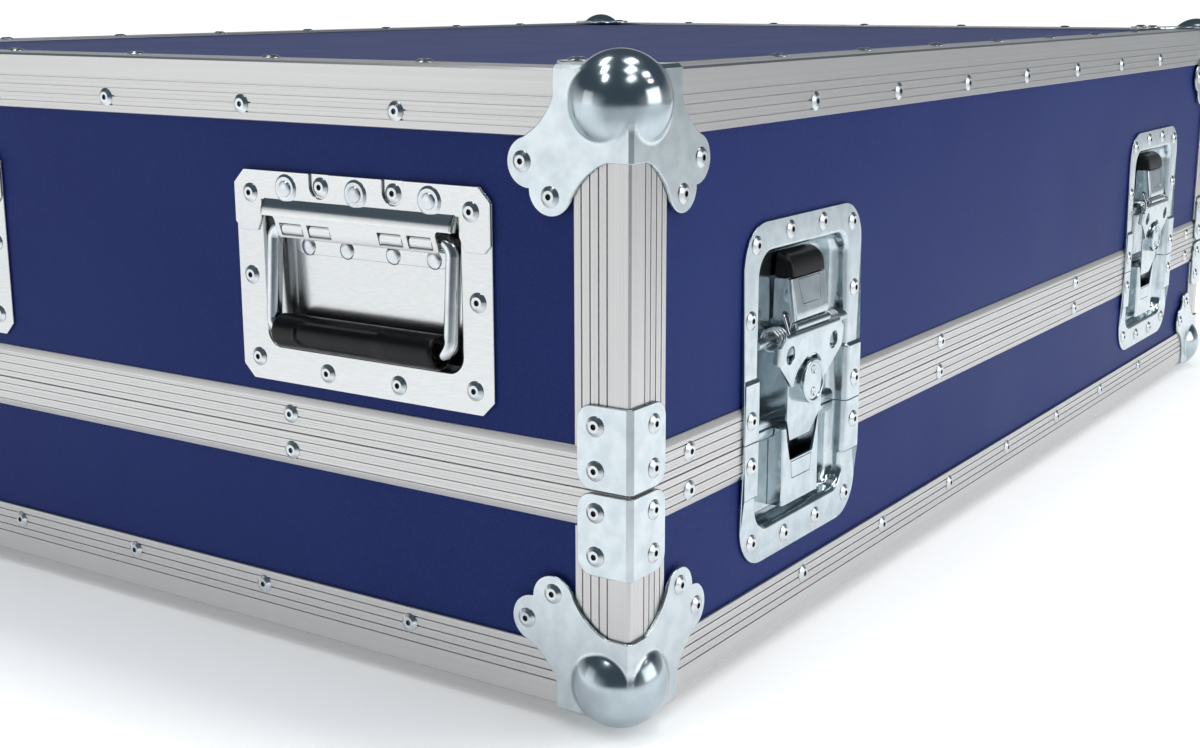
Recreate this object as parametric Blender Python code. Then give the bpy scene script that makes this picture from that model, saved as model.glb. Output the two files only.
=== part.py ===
# Lighting console flight case: a deep lift-off lid over a shallow base tray.
# Units are metres and +Z is up. The origin is on the floor, under the middle of the case.
# Each piece of hardware is drawn in the frame of its seat on a case wall:
# X runs along the wall, -Y points out of the case and +Z is up.

import math

import bmesh
import bpy
from mathutils import Vector

# Case, measured over the edge extrusions
CASE_LENGTH = 0.966
CASE_WIDTH = 0.667
BASE_HEIGHT = 0.1096
LID_HEIGHT = 0.1884

# Gaps
SEAT_GAP = 0.0003          # between pieces that touch
RUNNING_GAP = 0.0006       # round pieces that turn or slide

# Laminated plywood walls
PANEL_THICKNESS = 0.0095

# Double angle extrusion along the case edges
EDGE_WIDTH = 0.030
EDGE_WALL = 0.0015
EDGE_NOSE = 0.003
EDGE_LIP_REACH = 0.024
EDGE_LIP_WALL = 0.0016
EDGE_WEB = 0.0025
EDGE_CORNER_TRIM = 0.007   # cut off each corner of a frame, inside the ball
GROOVE_START = 0.0121      # from the outer edge
GROOVE_PITCH = 0.00455
GROOVE_COUNT = 4
GROOVE_WIDTH = 0.0011
GROOVE_DEPTH = 0.0005

# Closing rims with a tongue and a groove
LID_RIM_HEIGHT = 0.0195
BASE_RIM_HEIGHT = 0.0179
RIM_FLOOR = 0.0085         # solid part between the parting line and the panel slot
RIM_GROOVE_START = 0.0040
RIM_GROOVE_PITCH = 0.0048
RIM_GROOVE_COUNT = 3
RIM_GROOVE_WIDTH = 0.0009
RIM_GROOVE_DEPTH = 0.0004
TONGUE_WIDTH = 0.003
TONGUE_HEIGHT = 0.006
TONGUE_INSET = 0.0049      # from the outer face
TONGUE_CLEARANCE = 0.0005

# Ball corners
BALL_RADIUS = 0.0234
BALL_INSET = 0.0146        # ball centre, in from each face
CORNER_SHEET = 0.0015
CORNER_REACH = 0.0397
CORNER_SHOULDER = 0.011
CORNER_FLARE = ((0.0417, 0.0162), (0.0463, 0.0225), (0.0510, 0.0268))
LOBE_FAR = 0.0532
LOBE_NEAR = 0.0414
LOBE_RADIUS = 0.0117
LOBE_START = -76           # degrees, where the flare meets it
CORNER_BEND = 0.0038       # outer radius of its folded edges
BALL_SEGMENTS = 14
BALL_RINGS = 9

# Brace plates over the corners of the rims
BRACE_SHEET = 0.0015
BRACE_REACH = 0.0277
BRACE_TOP = 0.0405         # upper plate, above the parting line
BRACE_BOTTOM = 0.0402      # lower plate, below the parting line
BRACE_GAP = 0.0008
BRACE_CORNER = 0.008
BRACE_PAD_START = 0.0010   # above the rim
BRACE_PAD_DEPTH = 0.0005   # into the corner post

# Foam lining
FOAM_WALL = 0.040
FOAM_FLOOR = 0.040
FOAM_CEILING = 0.040
FOAM_REVEAL = 0.001        # below the parting line

# Pressed sheet of the recessed hardware
PAN_SHEET = 0.0014
FLANGE_SHEET = 0.0013
PAN_DRAFT = 0.0012
CUT_CLEARANCE = 0.0005     # round a pan, in the panel

# Recessed handles in the lid's short sides
HANDLE_SPACING = 0.3524
HANDLE_PLATE_WIDTH = 0.1637
HANDLE_PLATE_HEIGHT = 0.1084
HANDLE_PLATE_DROP = 0.0542     # plate top below the case top
HANDLE_CHAMFER = 0.007
HANDLE_WELL_WIDTH = 0.1254
HANDLE_WELL_HEIGHT = 0.0735
HANDLE_WELL_DROP = 0.0158      # well top below the plate top
HANDLE_WELL_CORNER = 0.008
COVER_SHEET = 0.0012
COVER_EAR_DROP = 0.0310
COVER_EAR_CHAMFER = 0.004
COVER_EAR_INSET = 0.004        # ear's lower corner, out from the well
BAIL_DIAMETER = 0.0078
BAIL_BEND = 0.0065
BAIL_SPAN = 0.1152             # between the centres of its legs
BAIL_DROP = 0.0120             # pivot below the well's top
BAIL_PIVOT_DEPTH = 0.0028
BAIL_STUB = 0.042              # length of the turned-in ends
BAIL_ARM = 0.0525
BAIL_LEAN = 0.0042             # grip stands further out than the pivot
GRIP_DIAMETER = 0.0175
GRIP_SIDES = 12
GRIP_GAP = 0.0006              # round the bail
GRIP_END_GAP = 0.0018          # from the bail's legs
GRIP_END_BORE = 0.0024         # wider bore at the ends
GRIP_END_DEPTH = 0.006
GRIP_END_ROUND = 0.0015
LEAF_WIDTH = 0.0988
LEAF_HEIGHT = 0.0085
LEAF_SHEET = 0.0012
KNUCKLE_WIDTH = 0.0147
KNUCKLE_CENTRES = (0.0229, 0.0413)
KNUCKLE_WALL = 0.0010

# Recessed latches in the long sides
LATCH_SPACING = 0.628
LATCH_PLATE_WIDTH = 0.132
LATCH_PLATE_UP = 0.1103        # above the parting line
LATCH_PLATE_DOWN = 0.0668      # below the parting line
LATCH_PLATE_CORNER = 0.022
LATCH_WELL_WIDTH = 0.099
LATCH_WELL_UP = 0.0944
LATCH_WELL_DOWN = 0.0486
LATCH_WELL_CORNER = 0.012
LATCH_STEP_UP = 0.0314         # where the flange steps out over the rims
LATCH_STEP_DOWN = 0.0296
LATCH_STEP_RUN = 0.0025
AXLE_DIAMETER = 0.0060
AXLE_RISE = 0.0479             # above the parting line
SPRING_WIRE = 0.0018
SPRING_MEAN_RADIUS = 0.0054
SPRING_TURNS = 4
SPRING_PITCH = 0.0029
SPRING_START = 0.0230          # innermost turn, from the middle of the latch
SPRING_POINTS = 8              # in each turn
SPRING_HOLE = 0.0028
LEVER_WIDTH = 0.0403
LEVER_SHEET = 0.0016
LEVER_TOP = 0.0302             # above the axle
LEVER_KNEE = 0.0115
LEVER_LIP = 0.0074
LEVER_CHEEK = 0.0060           # metal round the axle
TIP_LENGTH = 0.0130
TIP_WIDTH = 0.0385
HOOK_PIN_RISE = 0.0050         # above the axle
HOOK_PIN_OUT = 0.0060
HOOK_PIN_DIAMETER = 0.0044
HOOK_SHEET = 0.0016
HOOK_HALF_TOP = 0.0302
HOOK_HALF_WIDTH = 0.0366
HOOK_HALF_TIP = 0.0195
HOOK_TIP_WIDTH = 0.0050
HOOK_TOP_DROP = 0.0025         # below the hook pin
HOOK_SHOULDER_DROP = 0.0080
HOOK_SIDE_LENGTH = 0.0090
HOOK_TIP_DROP = 0.0315
HOOK_SLOPE = 0.095             # inward lean of the plate
HOOK_RETURN = 0.0042           # folded sides
HOOK_HOLE_DIAMETER = 0.0095
HOOK_HOLE_HALF = 0.02465
HOOK_HOLE_DROP = 0.0134
DISC_DIAMETER = 0.0240
DISC_HEIGHT = 0.0058
DISC_ARCH = 0.0027             # gap between disc and plate
DISC_DROP = 0.0312             # below the hook pin
TONGUE_PLATE_HALF = 0.0195
TONGUE_PLATE_TIP = 0.0115
TONGUE_PLATE_TOP = 0.0155      # below the hook pin
TONGUE_PLATE_BEND = 0.0495
TONGUE_PLATE_END = 0.0625
TONGUE_PLATE_BACK = 0.0024     # front face behind the hook pin
TONGUE_PLATE_DIP = 0.0024
SPACER_WIDTH = 0.020
SPACER_HEIGHT = 0.0025
KEEPER_WIDTH = 0.041
KEEPER_DEPTH = 0.0004          # its face behind the case face
KEEPER_FOOT = 0.0436           # below the parting line
KEEPER_HEAD = 0.0010
NOTCH_BOTTOM = 0.0196
NOTCH_HALF_BOTTOM = 0.0129
NOTCH_HALF_TOP = 0.0195
NOTCH_FLOOR = 0.0085           # behind the case face

# Derived places
CASE_HEIGHT = BASE_HEIGHT + LID_HEIGHT
UNDERSIDE = BALL_RADIUS - BALL_INSET
PARTING = UNDERSIDE + BASE_HEIGHT
TOP = UNDERSIDE + CASE_HEIGHT
PANEL_FACE = EDGE_WALL + SEAT_GAP
PANEL_BACK = PANEL_FACE + PANEL_THICKNESS
SLOT_BACK = PANEL_BACK + SEAT_GAP
LIP_BACK = SLOT_BACK + EDGE_LIP_WALL
PANEL_EDGE = LIP_BACK + SEAT_GAP
FLANGE_FRONT = PANEL_FACE - SEAT_GAP - FLANGE_SHEET      # behind the case face
PAN_BACK = PANEL_BACK - SEAT_GAP
PAN_FLOOR = PAN_BACK - PAN_SHEET
FOAM_OUTER = LIP_BACK + SEAT_GAP
AXLE_DEPTH = PAN_FLOOR - SPRING_MEAN_RADIUS - SPRING_WIRE / 2 - RUNNING_GAP

COLOURS = {
    "laminate": (0.030, 0.042, 0.150, 0.45, 0.0),
    "aluminium": (0.560, 0.555, 0.545, 0.38, 1.0),
    "zinc": (0.600, 0.660, 0.680, 0.30, 1.0),
    "chrome": (0.640, 0.660, 0.670, 0.12, 1.0),
    "black": (0.018, 0.018, 0.020, 0.42, 0.0),
    "foam": (0.030, 0.030, 0.032, 0.95, 0.0),
}


# Scene helpers

def clear_scene():
    for thing in list(bpy.data.objects):
        bpy.data.objects.remove(thing)


def finish_for(name, kind):
    red, green, blue, roughness, metallic = COLOURS[kind]
    material = bpy.data.materials.new(name + "_finish")
    material.use_nodes = True
    shader = material.node_tree.nodes["Principled BSDF"]
    shader.inputs["Base Color"].default_value = (red, green, blue, 1.0)
    shader.inputs["Roughness"].default_value = roughness
    shader.inputs["Metallic"].default_value = metallic
    material.diffuse_color = (red, green, blue, 1.0)
    return material


def add_piece(name, mesh, kind, seat=None, location=(0.0, 0.0, 0.0), turn=None):
    piece = bpy.data.objects.new(name, mesh)
    bpy.context.collection.objects.link(piece)
    piece.location = location
    if turn is not None:
        piece.rotation_euler = turn
    if seat is not None:
        piece.parent = seat
    if not mesh.materials:
        mesh.materials.append(None)
    piece.material_slots[0].link = "OBJECT"
    piece.material_slots[0].material = finish_for(name, kind)
    return piece


def add_seat(name, location, angle):
    seat = bpy.data.objects.new(name, None)
    bpy.context.collection.objects.link(seat)
    seat.empty_display_size = 0.02
    seat.location = location
    seat.rotation_euler = (0.0, 0.0, angle)
    return seat


# Mesh helpers

def mesh_from(bm, smooth_angle=None):
    bmesh.ops.recalc_face_normals(bm, faces=bm.faces)
    mesh = bpy.data.meshes.new("shape")
    bm.to_mesh(mesh)
    bm.free()
    if smooth_angle is not None:
        mesh.shade_smooth()
        mesh.set_sharp_from_angle(angle=smooth_angle)
    return mesh


def loft(loops, closed=False):
    """Skin a row of loops that have equal point counts; the ends are capped unless closed."""
    bm = bmesh.new()
    rows = [[bm.verts.new(point) for point in loop] for loop in loops]
    count = len(rows[0])
    pairs = list(zip(rows, rows[1:]))
    if closed:
        pairs.append((rows[-1], rows[0]))
    for lower, upper in pairs:
        for i in range(count):
            j = (i + 1) % count
            bm.faces.new((lower[i], lower[j], upper[j], upper[i]))
    if not closed:
        bm.faces.new(rows[0])
        bm.faces.new(rows[-1])
    return bm


def prism(outline, low, high, place):
    """Extrude an outline; place(u, v, t) turns a point and a depth into a vector."""
    return loft([[place(u, v, t) for u, v in outline] for t in (low, high)])


def box(low, high):
    corners = [(low[0], low[1]), (high[0], low[1]), (high[0], high[1]), (low[0], high[1])]
    return mesh_from(prism(corners, low[2], high[2], lambda u, v, t: Vector((u, v, t))))


def combine(base, tools, operation):
    """Union or difference of meshes."""
    body = bpy.data.objects.new("body", base)
    bpy.context.collection.objects.link(body)
    helpers = []
    for tool in tools:
        helper = bpy.data.objects.new("helper", tool)
        bpy.context.collection.objects.link(helper)
        cut = body.modifiers.new("combine", "BOOLEAN")
        cut.operation = operation
        cut.object = helper
        helpers.append(helper)
    graph = bpy.context.evaluated_depsgraph_get()
    result = bpy.data.meshes.new_from_object(body.evaluated_get(graph))
    for thing in [body] + helpers:
        bpy.data.objects.remove(thing)
    return result


def bevel_edges(mesh, wanted, width, segments=2):
    """Round the edges for which wanted(start, end) is true."""
    bm = bmesh.new()
    bm.from_mesh(mesh)
    edges = [edge for edge in bm.edges if wanted(edge.verts[0].co, edge.verts[1].co)]
    bmesh.ops.bevel(bm, geom=edges, offset=width, segments=segments, profile=0.5,
                    affect="EDGES")
    return mesh_from(bm)


def arc(centre, radius, start, end, steps):
    """Points on an arc, angles in degrees from the first axis towards the second."""
    points = []
    for i in range(steps + 1):
        angle = math.radians(start + (end - start) * i / steps)
        points.append((centre[0] + radius * math.cos(angle),
                       centre[1] + radius * math.sin(angle)))
    return points


def rounded_outline(half, low, high, radius, levels=(), steps=3):
    """Rounded rectangle, with extra points where its upright sides cross the levels."""
    right = [(half, level) for level in levels]
    left = [(-half, level) for level in reversed(levels)]
    points = arc((half - radius, low + radius), radius, -90, 0, steps)
    points += right
    points += arc((half - radius, high - radius), radius, 0, 90, steps)
    points += arc((radius - half, high - radius), radius, 90, 180, steps)
    points += left
    points += arc((radius - half, low + radius), radius, 180, 270, steps)
    return points


def chamfered_outline(half, low, high, cut, steps):
    """Rectangle with straight corner cuts, with as many points as a rounded one."""
    points = []
    corners = (((half - cut, low), (half, low + cut)),
               ((half, high - cut), (half - cut, high)),
               ((cut - half, high), (-half, high - cut)),
               ((-half, low + cut), (cut - half, low)))
    for start, end in corners:
        for i in range(steps + 1):
            share = i / steps
            points.append((start[0] + (end[0] - start[0]) * share,
                           start[1] + (end[1] - start[1]) * share))
    return points


def wall_point(x, z, depth):
    """A point on the seat's wall, at a depth behind the case face."""
    return Vector((x, depth, z))


def groove_points(start, pitch, count, width, depth):
    """A row of V grooves as points (along, in)."""
    points = []
    for i in range(count):
        middle = start + i * pitch
        points += [(middle - width / 2, 0.0), (middle, depth), (middle + width / 2, 0.0)]
    return points


# Extrusions

def edge_profile():
    """Double angle as points (in from one face, in from the other)."""
    grooves = groove_points(GROOVE_START, GROOVE_PITCH, GROOVE_COUNT, GROOVE_WIDTH,
                            GROOVE_DEPTH)
    half_web = EDGE_WEB / math.sqrt(2.0)
    lip_front = SLOT_BACK
    points = [(0.0, EDGE_WIDTH)]
    points += [(depth, along) for along, depth in reversed(grooves)]
    points += [(0.0, EDGE_NOSE), (0.3 * EDGE_NOSE, 0.3 * EDGE_NOSE), (EDGE_NOSE, 0.0)]
    points += grooves
    points += [(EDGE_WIDTH, 0.0), (EDGE_WIDTH, EDGE_WALL)]
    points += [(EDGE_WALL + half_web, EDGE_WALL), (lip_front + half_web, lip_front)]
    points += [(EDGE_LIP_REACH, lip_front), (EDGE_LIP_REACH, LIP_BACK), (LIP_BACK, LIP_BACK)]
    points += [(LIP_BACK, EDGE_LIP_REACH), (lip_front, EDGE_LIP_REACH)]
    points += [(lip_front, lip_front + half_web), (EDGE_WALL, EDGE_WALL + half_web)]
    points += [(EDGE_WALL, EDGE_WIDTH)]
    return points


def perimeter(profile, height_of):
    """Sweep a profile (in from the wall, up) round the case with mitred corners."""
    loops = []
    for side_x, side_y in ((-1, -1), (1, -1), (1, 1), (-1, 1)):
        loops.append([Vector((side_x * (CASE_LENGTH / 2 - inward),
                              side_y * (CASE_WIDTH / 2 - inward),
                              height_of(up))) for inward, up in profile])
    return mesh_from(loft(loops, closed=True))


def corner_prism(outline, low, high, side_x, side_y):
    """Upright prism in a corner of the case; the outline is measured in from both walls."""
    def place(u, v, t):
        return Vector((side_x * (CASE_LENGTH / 2 - u), side_y * (CASE_WIDTH / 2 - v), t))
    return mesh_from(prism(outline, low, high, place))


def angle_outline(outer, inner, reach):
    """L section whose faces stand out of the case by outer and inner."""
    return [(-outer, -outer), (reach, -outer), (reach, -inner), (-inner, -inner),
            (-inner, reach), (-outer, reach)]


def brace_plate(low, high, side_x, side_y):
    """Folded plate round a corner of the rims, with rounded ends."""
    outline = angle_outline(SEAT_GAP + BRACE_SHEET, SEAT_GAP, BRACE_REACH)
    plate = corner_prism(outline, low, high, side_x, side_y)
    end_x = CASE_LENGTH / 2 - BRACE_REACH
    end_y = CASE_WIDTH / 2 - BRACE_REACH

    def at_end(start, end):
        across = (end - start).length < BRACE_SHEET * 1.5 and abs(end.z - start.z) < 1e-6
        on_x = abs(abs(start.x) - end_x) < 1e-5 and abs(abs(end.x) - end_x) < 1e-5
        on_y = abs(abs(start.y) - end_y) < 1e-5 and abs(abs(end.y) - end_y) < 1e-5
        return across and (on_x or on_y)
    return bevel_edges(plate, at_end, BRACE_CORNER)


def edge_frame(is_lid):
    """Edge extrusions, corner posts and rim braces of one half of the case."""
    profile = edge_profile()
    if is_lid:
        ring = perimeter(profile, lambda up: TOP - up)
        post = (PARTING + LID_RIM_HEIGHT + SEAT_GAP, TOP - EDGE_WIDTH + 0.001)
        plate = (PARTING + BRACE_GAP, PARTING + BRACE_TOP)
        pad = (PARTING + LID_RIM_HEIGHT + BRACE_PAD_START, plate[1] - 0.001)
    else:
        ring = perimeter(profile, lambda up: UNDERSIDE + up)
        post = (UNDERSIDE + EDGE_WIDTH - 0.001, PARTING - BASE_RIM_HEIGHT - SEAT_GAP)
        plate = (PARTING - BRACE_BOTTOM, PARTING - BRACE_GAP)
        pad = (plate[0] + 0.001, PARTING - BASE_RIM_HEIGHT - BRACE_PAD_START)
    pad_reach = BRACE_REACH - BRACE_CORNER
    pad_outline = angle_outline(SEAT_GAP + BRACE_SHEET / 3, -BRACE_PAD_DEPTH, pad_reach)
    trim = EDGE_CORNER_TRIM
    trim_outline = [(-trim, -trim), (trim, -trim), (trim, trim), (-trim, trim)]
    corner = TOP if is_lid else UNDERSIDE
    additions = []
    trims = []
    for side_x in (-1, 1):
        for side_y in (-1, 1):
            trims.append(corner_prism(trim_outline, corner - trim, corner + trim, side_x, side_y))
            additions.append(corner_prism(profile, post[0], post[1], side_x, side_y))
            additions.append(corner_prism(pad_outline, pad[0], pad[1], side_x, side_y))
            additions.append(brace_plate(plate[0], plate[1], side_x, side_y))
    return combine(combine(ring, additions, "UNION"), trims, "DIFFERENCE")


def rim_profile(is_lid):
    """Closing rim as points (in from the wall, away from the parting line)."""
    height = LID_RIM_HEIGHT if is_lid else BASE_RIM_HEIGHT
    joint = SEAT_GAP / 2
    grooves = groove_points(RIM_GROOVE_START, RIM_GROOVE_PITCH, RIM_GROOVE_COUNT,
                            RIM_GROOVE_WIDTH, RIM_GROOVE_DEPTH)
    points = [(0.0, joint)]
    points += [(depth, along) for along, depth in grooves]
    points += [(0.0, height), (EDGE_WALL, height), (EDGE_WALL, RIM_FLOOR)]
    points += [(SLOT_BACK, RIM_FLOOR), (SLOT_BACK, height), (LIP_BACK, height)]
    points += [(LIP_BACK, joint)]
    inner = TONGUE_INSET + TONGUE_WIDTH
    if is_lid:
        free = TONGUE_CLEARANCE
        points += [(inner + free, joint), (inner + free, TONGUE_HEIGHT + free)]
        points += [(TONGUE_INSET - free, TONGUE_HEIGHT + free), (TONGUE_INSET - free, joint)]
    else:
        points += [(inner, joint), (inner, -TONGUE_HEIGHT)]
        points += [(TONGUE_INSET, -TONGUE_HEIGHT), (TONGUE_INSET, joint)]
    return points


def closing_rim(is_lid):
    """Tongue or groove rim, cut away in front of the latch pans."""
    sign = 1 if is_lid else -1
    rim = perimeter(rim_profile(is_lid), lambda up: PARTING + sign * up)
    half = LATCH_WELL_WIDTH / 2 + PAN_SHEET + CUT_CLEARANCE
    reach = LID_RIM_HEIGHT + BASE_RIM_HEIGHT
    cutters = []
    for side_y in (-1, 1):
        for middle in (-LATCH_SPACING / 2, LATCH_SPACING / 2):
            walls = sorted((side_y * (CASE_WIDTH / 2 + 0.01),
                            side_y * (CASE_WIDTH / 2 - PANEL_BACK)))
            cutters.append(box((middle - half, walls[0], PARTING - reach),
                               (middle + half, walls[1], PARTING + reach)))
    return combine(rim, cutters, "DIFFERENCE")


# Panels

def flat_panel(low, high, holes, along, place):
    """Board in the plane (along, z) with rectangular holes, all at one height."""
    columns = sorted({low[0], high[0]} | {edge for hole in holes for edge in hole[:2]})
    if holes:
        rows = sorted({low[1], high[1]} | {edge for hole in holes for edge in hole[2:]})
    else:
        rows = [low[1], high[1]]
    bm = bmesh.new()
    corners = {}

    def corner(u, v, t):
        key = (u, v, t)
        if key not in corners:
            corners[key] = bm.verts.new(place(u, v, t))
        return corners[key]

    def is_solid(i, j):
        if not (0 <= i < len(columns) - 1 and 0 <= j < len(rows) - 1):
            return False
        middle = ((columns[i] + columns[i + 1]) / 2, (rows[j] + rows[j + 1]) / 2)
        return not any(hole[0] < middle[0] < hole[1] and hole[2] < middle[1] < hole[3]
                       for hole in holes)

    for i in range(len(columns) - 1):
        for j in range(len(rows) - 1):
            if not is_solid(i, j):
                continue
            u0, u1, v0, v1 = columns[i], columns[i + 1], rows[j], rows[j + 1]
            for depth in along:
                bm.faces.new([corner(u, v, depth) for u, v in
                              ((u0, v0), (u1, v0), (u1, v1), (u0, v1))])
            sides = (((-1, 0), (u0, v0), (u0, v1)), ((1, 0), (u1, v0), (u1, v1)),
                     ((0, -1), (u0, v0), (u1, v0)), ((0, 1), (u0, v1), (u1, v1)))
            for (step_i, step_j), start, end in sides:
                if not is_solid(i + step_i, j + step_j):
                    bm.faces.new([corner(*start, along[0]), corner(*end, along[0]),
                                  corner(*end, along[1]), corner(*start, along[1])])
    return mesh_from(bm)


def add_panels(is_lid):
    half_x = CASE_LENGTH / 2
    half_y = CASE_WIDTH / 2
    depths = (PANEL_FACE, PANEL_BACK)
    latch_half = LATCH_WELL_WIDTH / 2 + PAN_SHEET + CUT_CLEARANCE
    if is_lid:
        prefix = "lid"
        low = PARTING + RIM_FLOOR + SEAT_GAP
        high = TOP - PANEL_EDGE
        flat = (TOP - PANEL_BACK, TOP - PANEL_FACE)
        latch_cut = (low, PARTING + LATCH_WELL_UP + PAN_SHEET + CUT_CLEARANCE)
        well_top = TOP - HANDLE_PLATE_DROP - HANDLE_WELL_DROP
        margin = PAN_SHEET + CUT_CLEARANCE
        half = HANDLE_WELL_WIDTH / 2 + margin
        handle_holes = [(middle - half, middle + half, well_top - HANDLE_WELL_HEIGHT - margin,
                         well_top + margin)
                        for middle in (-HANDLE_SPACING / 2, HANDLE_SPACING / 2)]
    else:
        prefix = "base"
        low = UNDERSIDE + PANEL_EDGE
        high = PARTING - RIM_FLOOR - SEAT_GAP
        flat = (UNDERSIDE + PANEL_FACE, UNDERSIDE + PANEL_BACK)
        latch_cut = (PARTING - LATCH_WELL_DOWN - PAN_SHEET - CUT_CLEARANCE, high)
        handle_holes = []
    latch_holes = [(middle - latch_half, middle + latch_half, latch_cut[0], latch_cut[1])
                   for middle in (-LATCH_SPACING / 2, LATCH_SPACING / 2)]
    long_edge = half_x - PANEL_EDGE
    short_edge = half_y - PANEL_EDGE
    for side, sign in (("front", -1), ("back", 1)):
        board = flat_panel((-long_edge, low), (long_edge, high), latch_holes, depths,
                           lambda u, v, t: Vector((u, sign * (half_y - t), v)))
        add_piece(f"{prefix}_{side}_panel", board, "laminate")
    for side, sign in (("left", -1), ("right", 1)):
        board = flat_panel((-short_edge, low), (short_edge, high), handle_holes, depths,
                           lambda u, v, t: Vector((sign * (half_x - t), u, v)))
        add_piece(f"{prefix}_{side}_panel", board, "laminate")
    name = "lid_top_panel" if is_lid else "base_bottom_panel"
    board = box((-long_edge, -short_edge, flat[0]), (long_edge, short_edge, flat[1]))
    add_piece(name, board, "laminate")


# Foam lining

def foam_tray(is_lid):
    """Foam block with the console's space in it."""
    half_x = CASE_LENGTH / 2 - FOAM_OUTER
    half_y = CASE_WIDTH / 2 - FOAM_OUTER
    if is_lid:
        closed_end = TOP - FOAM_OUTER
        floor = closed_end - FOAM_CEILING
        open_end = PARTING + FOAM_REVEAL
    else:
        closed_end = UNDERSIDE + FOAM_OUTER
        floor = closed_end + FOAM_FLOOR
        open_end = PARTING - FOAM_REVEAL

    def rectangle(inset, height):
        return [Vector((x * (half_x - inset), y * (half_y - inset), height))
                for x, y in ((-1, -1), (1, -1), (1, 1), (-1, 1))]
    return mesh_from(loft([rectangle(0.0, closed_end), rectangle(0.0, open_end),
                           rectangle(FOAM_WALL, open_end), rectangle(FOAM_WALL, floor)]))


# Ball corners

def lobed_outline():
    """Corner plate as points (along one edge, along the other), even about the diagonal."""
    outer = SEAT_GAP + CORNER_SHEET
    middle = (LOBE_FAR + LOBE_NEAR) / 2
    half_gap = math.hypot(LOBE_FAR - LOBE_NEAR, LOBE_FAR - LOBE_NEAR) / 2
    notch = middle + math.sqrt(LOBE_RADIUS ** 2 - half_gap ** 2) / math.sqrt(2.0)
    end = math.degrees(math.atan2(notch - LOBE_NEAR, notch - LOBE_FAR))
    lobe = arc((LOBE_FAR, LOBE_NEAR), LOBE_RADIUS, LOBE_START, end, 4)
    half = [(CORNER_REACH, -outer), (CORNER_REACH, CORNER_SHOULDER), *CORNER_FLARE] + lobe
    mirrored = [(v, u) for u, v in reversed(half)]
    return [(-outer, -outer)] + half + mirrored[1:]


def corner_block(rise):
    """Corner of the case at the origin, grown by rise."""
    room = 2 * (LOBE_FAR + LOBE_RADIUS)
    return box((-rise, -rise, -rise), (room, room, room))


def lies_on_fold(start, end):
    """True for an edge that runs along two of the planes near the origin."""
    return sum(1 for a, b in zip(start, end) if max(a, b) < 0.0) == 2


def ball_corner():
    """Ball corner for a case corner at the origin, with the case on the positive side."""
    outline = lobed_outline()
    rise = SEAT_GAP + CORNER_SHEET
    reach = (-2 * rise, CORNER_BEND)
    axes = (lambda u, v, t: Vector((t, u, v)), lambda u, v, t: Vector((u, t, v)),
            lambda u, v, t: Vector((u, v, t)))
    leaves = [mesh_from(prism(outline, *reach, axis)) for axis in axes]
    legs = combine(combine(leaves[0], leaves[1:], "UNION"),
                   [bevel_edges(corner_block(rise), lies_on_fold, CORNER_BEND)], "INTERSECT")
    under_ball = box((-2 * rise,) * 3, (BALL_INSET,) * 3)
    legs = combine(legs, [under_ball], "DIFFERENCE")
    bm = bmesh.new()
    bmesh.ops.create_uvsphere(bm, u_segments=BALL_SEGMENTS, v_segments=BALL_RINGS,
                              radius=BALL_RADIUS)
    bmesh.ops.translate(bm, vec=Vector((BALL_INSET, BALL_INSET, BALL_INSET)), verts=bm.verts)
    solid = combine(legs, [mesh_from(bm)], "UNION")
    trimmed = box((-2 * rise,) * 3, (EDGE_CORNER_TRIM - SEAT_GAP,) * 3)
    case = combine(corner_block(SEAT_GAP), [trimmed], "DIFFERENCE")
    solid = combine(solid, [case], "DIFFERENCE")
    solid.shade_smooth()
    solid.set_sharp_from_angle(angle=math.radians(35))
    return solid


def add_ball_corners():
    corner = ball_corner()
    half_x = CASE_LENGTH / 2
    half_y = CASE_WIDTH / 2
    quarter = math.pi / 2
    places = (("front_left", -1, -1, 0), ("front_right", 1, -1, 1),
              ("back_right", 1, 1, 2), ("back_left", -1, 1, 3))
    for name, side_x, side_y, turns in places:
        add_piece(f"base_corner_{name}", corner, "chrome",
                  location=(side_x * half_x, side_y * half_y, UNDERSIDE),
                  turn=(0.0, 0.0, turns * quarter))
    over = {"front_left": 3, "front_right": 0, "back_right": 1, "back_left": 2}
    for name, side_x, side_y, turns in places:
        add_piece(f"lid_corner_{name}", corner, "chrome",
                  location=(side_x * half_x, side_y * half_y, TOP),
                  turn=(0.0, math.pi, over[name] * quarter))


# Recessed handles

def pan(flange, well, well_floor, wall, fronts):
    """Pressed pan from outlines: flange rim, well mouth, well floor and the wall outside it."""
    front, back = fronts
    loops = [[wall_point(x, z, PAN_BACK) for x, z in wall],
             [wall_point(x, z, back(z)) for x, z in wall],
             [wall_point(x, z, back(z)) for x, z in flange],
             [wall_point(x, z, front(z)) for x, z in flange],
             [wall_point(x, z, front(z)) for x, z in well],
             [wall_point(x, z, PAN_FLOOR) for x, z in well_floor]]
    return loft(loops)


def handle_levels():
    """Heights in the handle's seat frame, whose origin is the bail's pivot height."""
    well_top = BAIL_DROP
    plate_top = well_top + HANDLE_WELL_DROP
    return {"plate_top": plate_top, "plate_low": plate_top - HANDLE_PLATE_HEIGHT,
            "well_top": well_top, "well_low": well_top - HANDLE_WELL_HEIGHT}


def across(u, v, t):
    """Section points (height, depth) spread along the wall."""
    return Vector((t, v, u))


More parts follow.
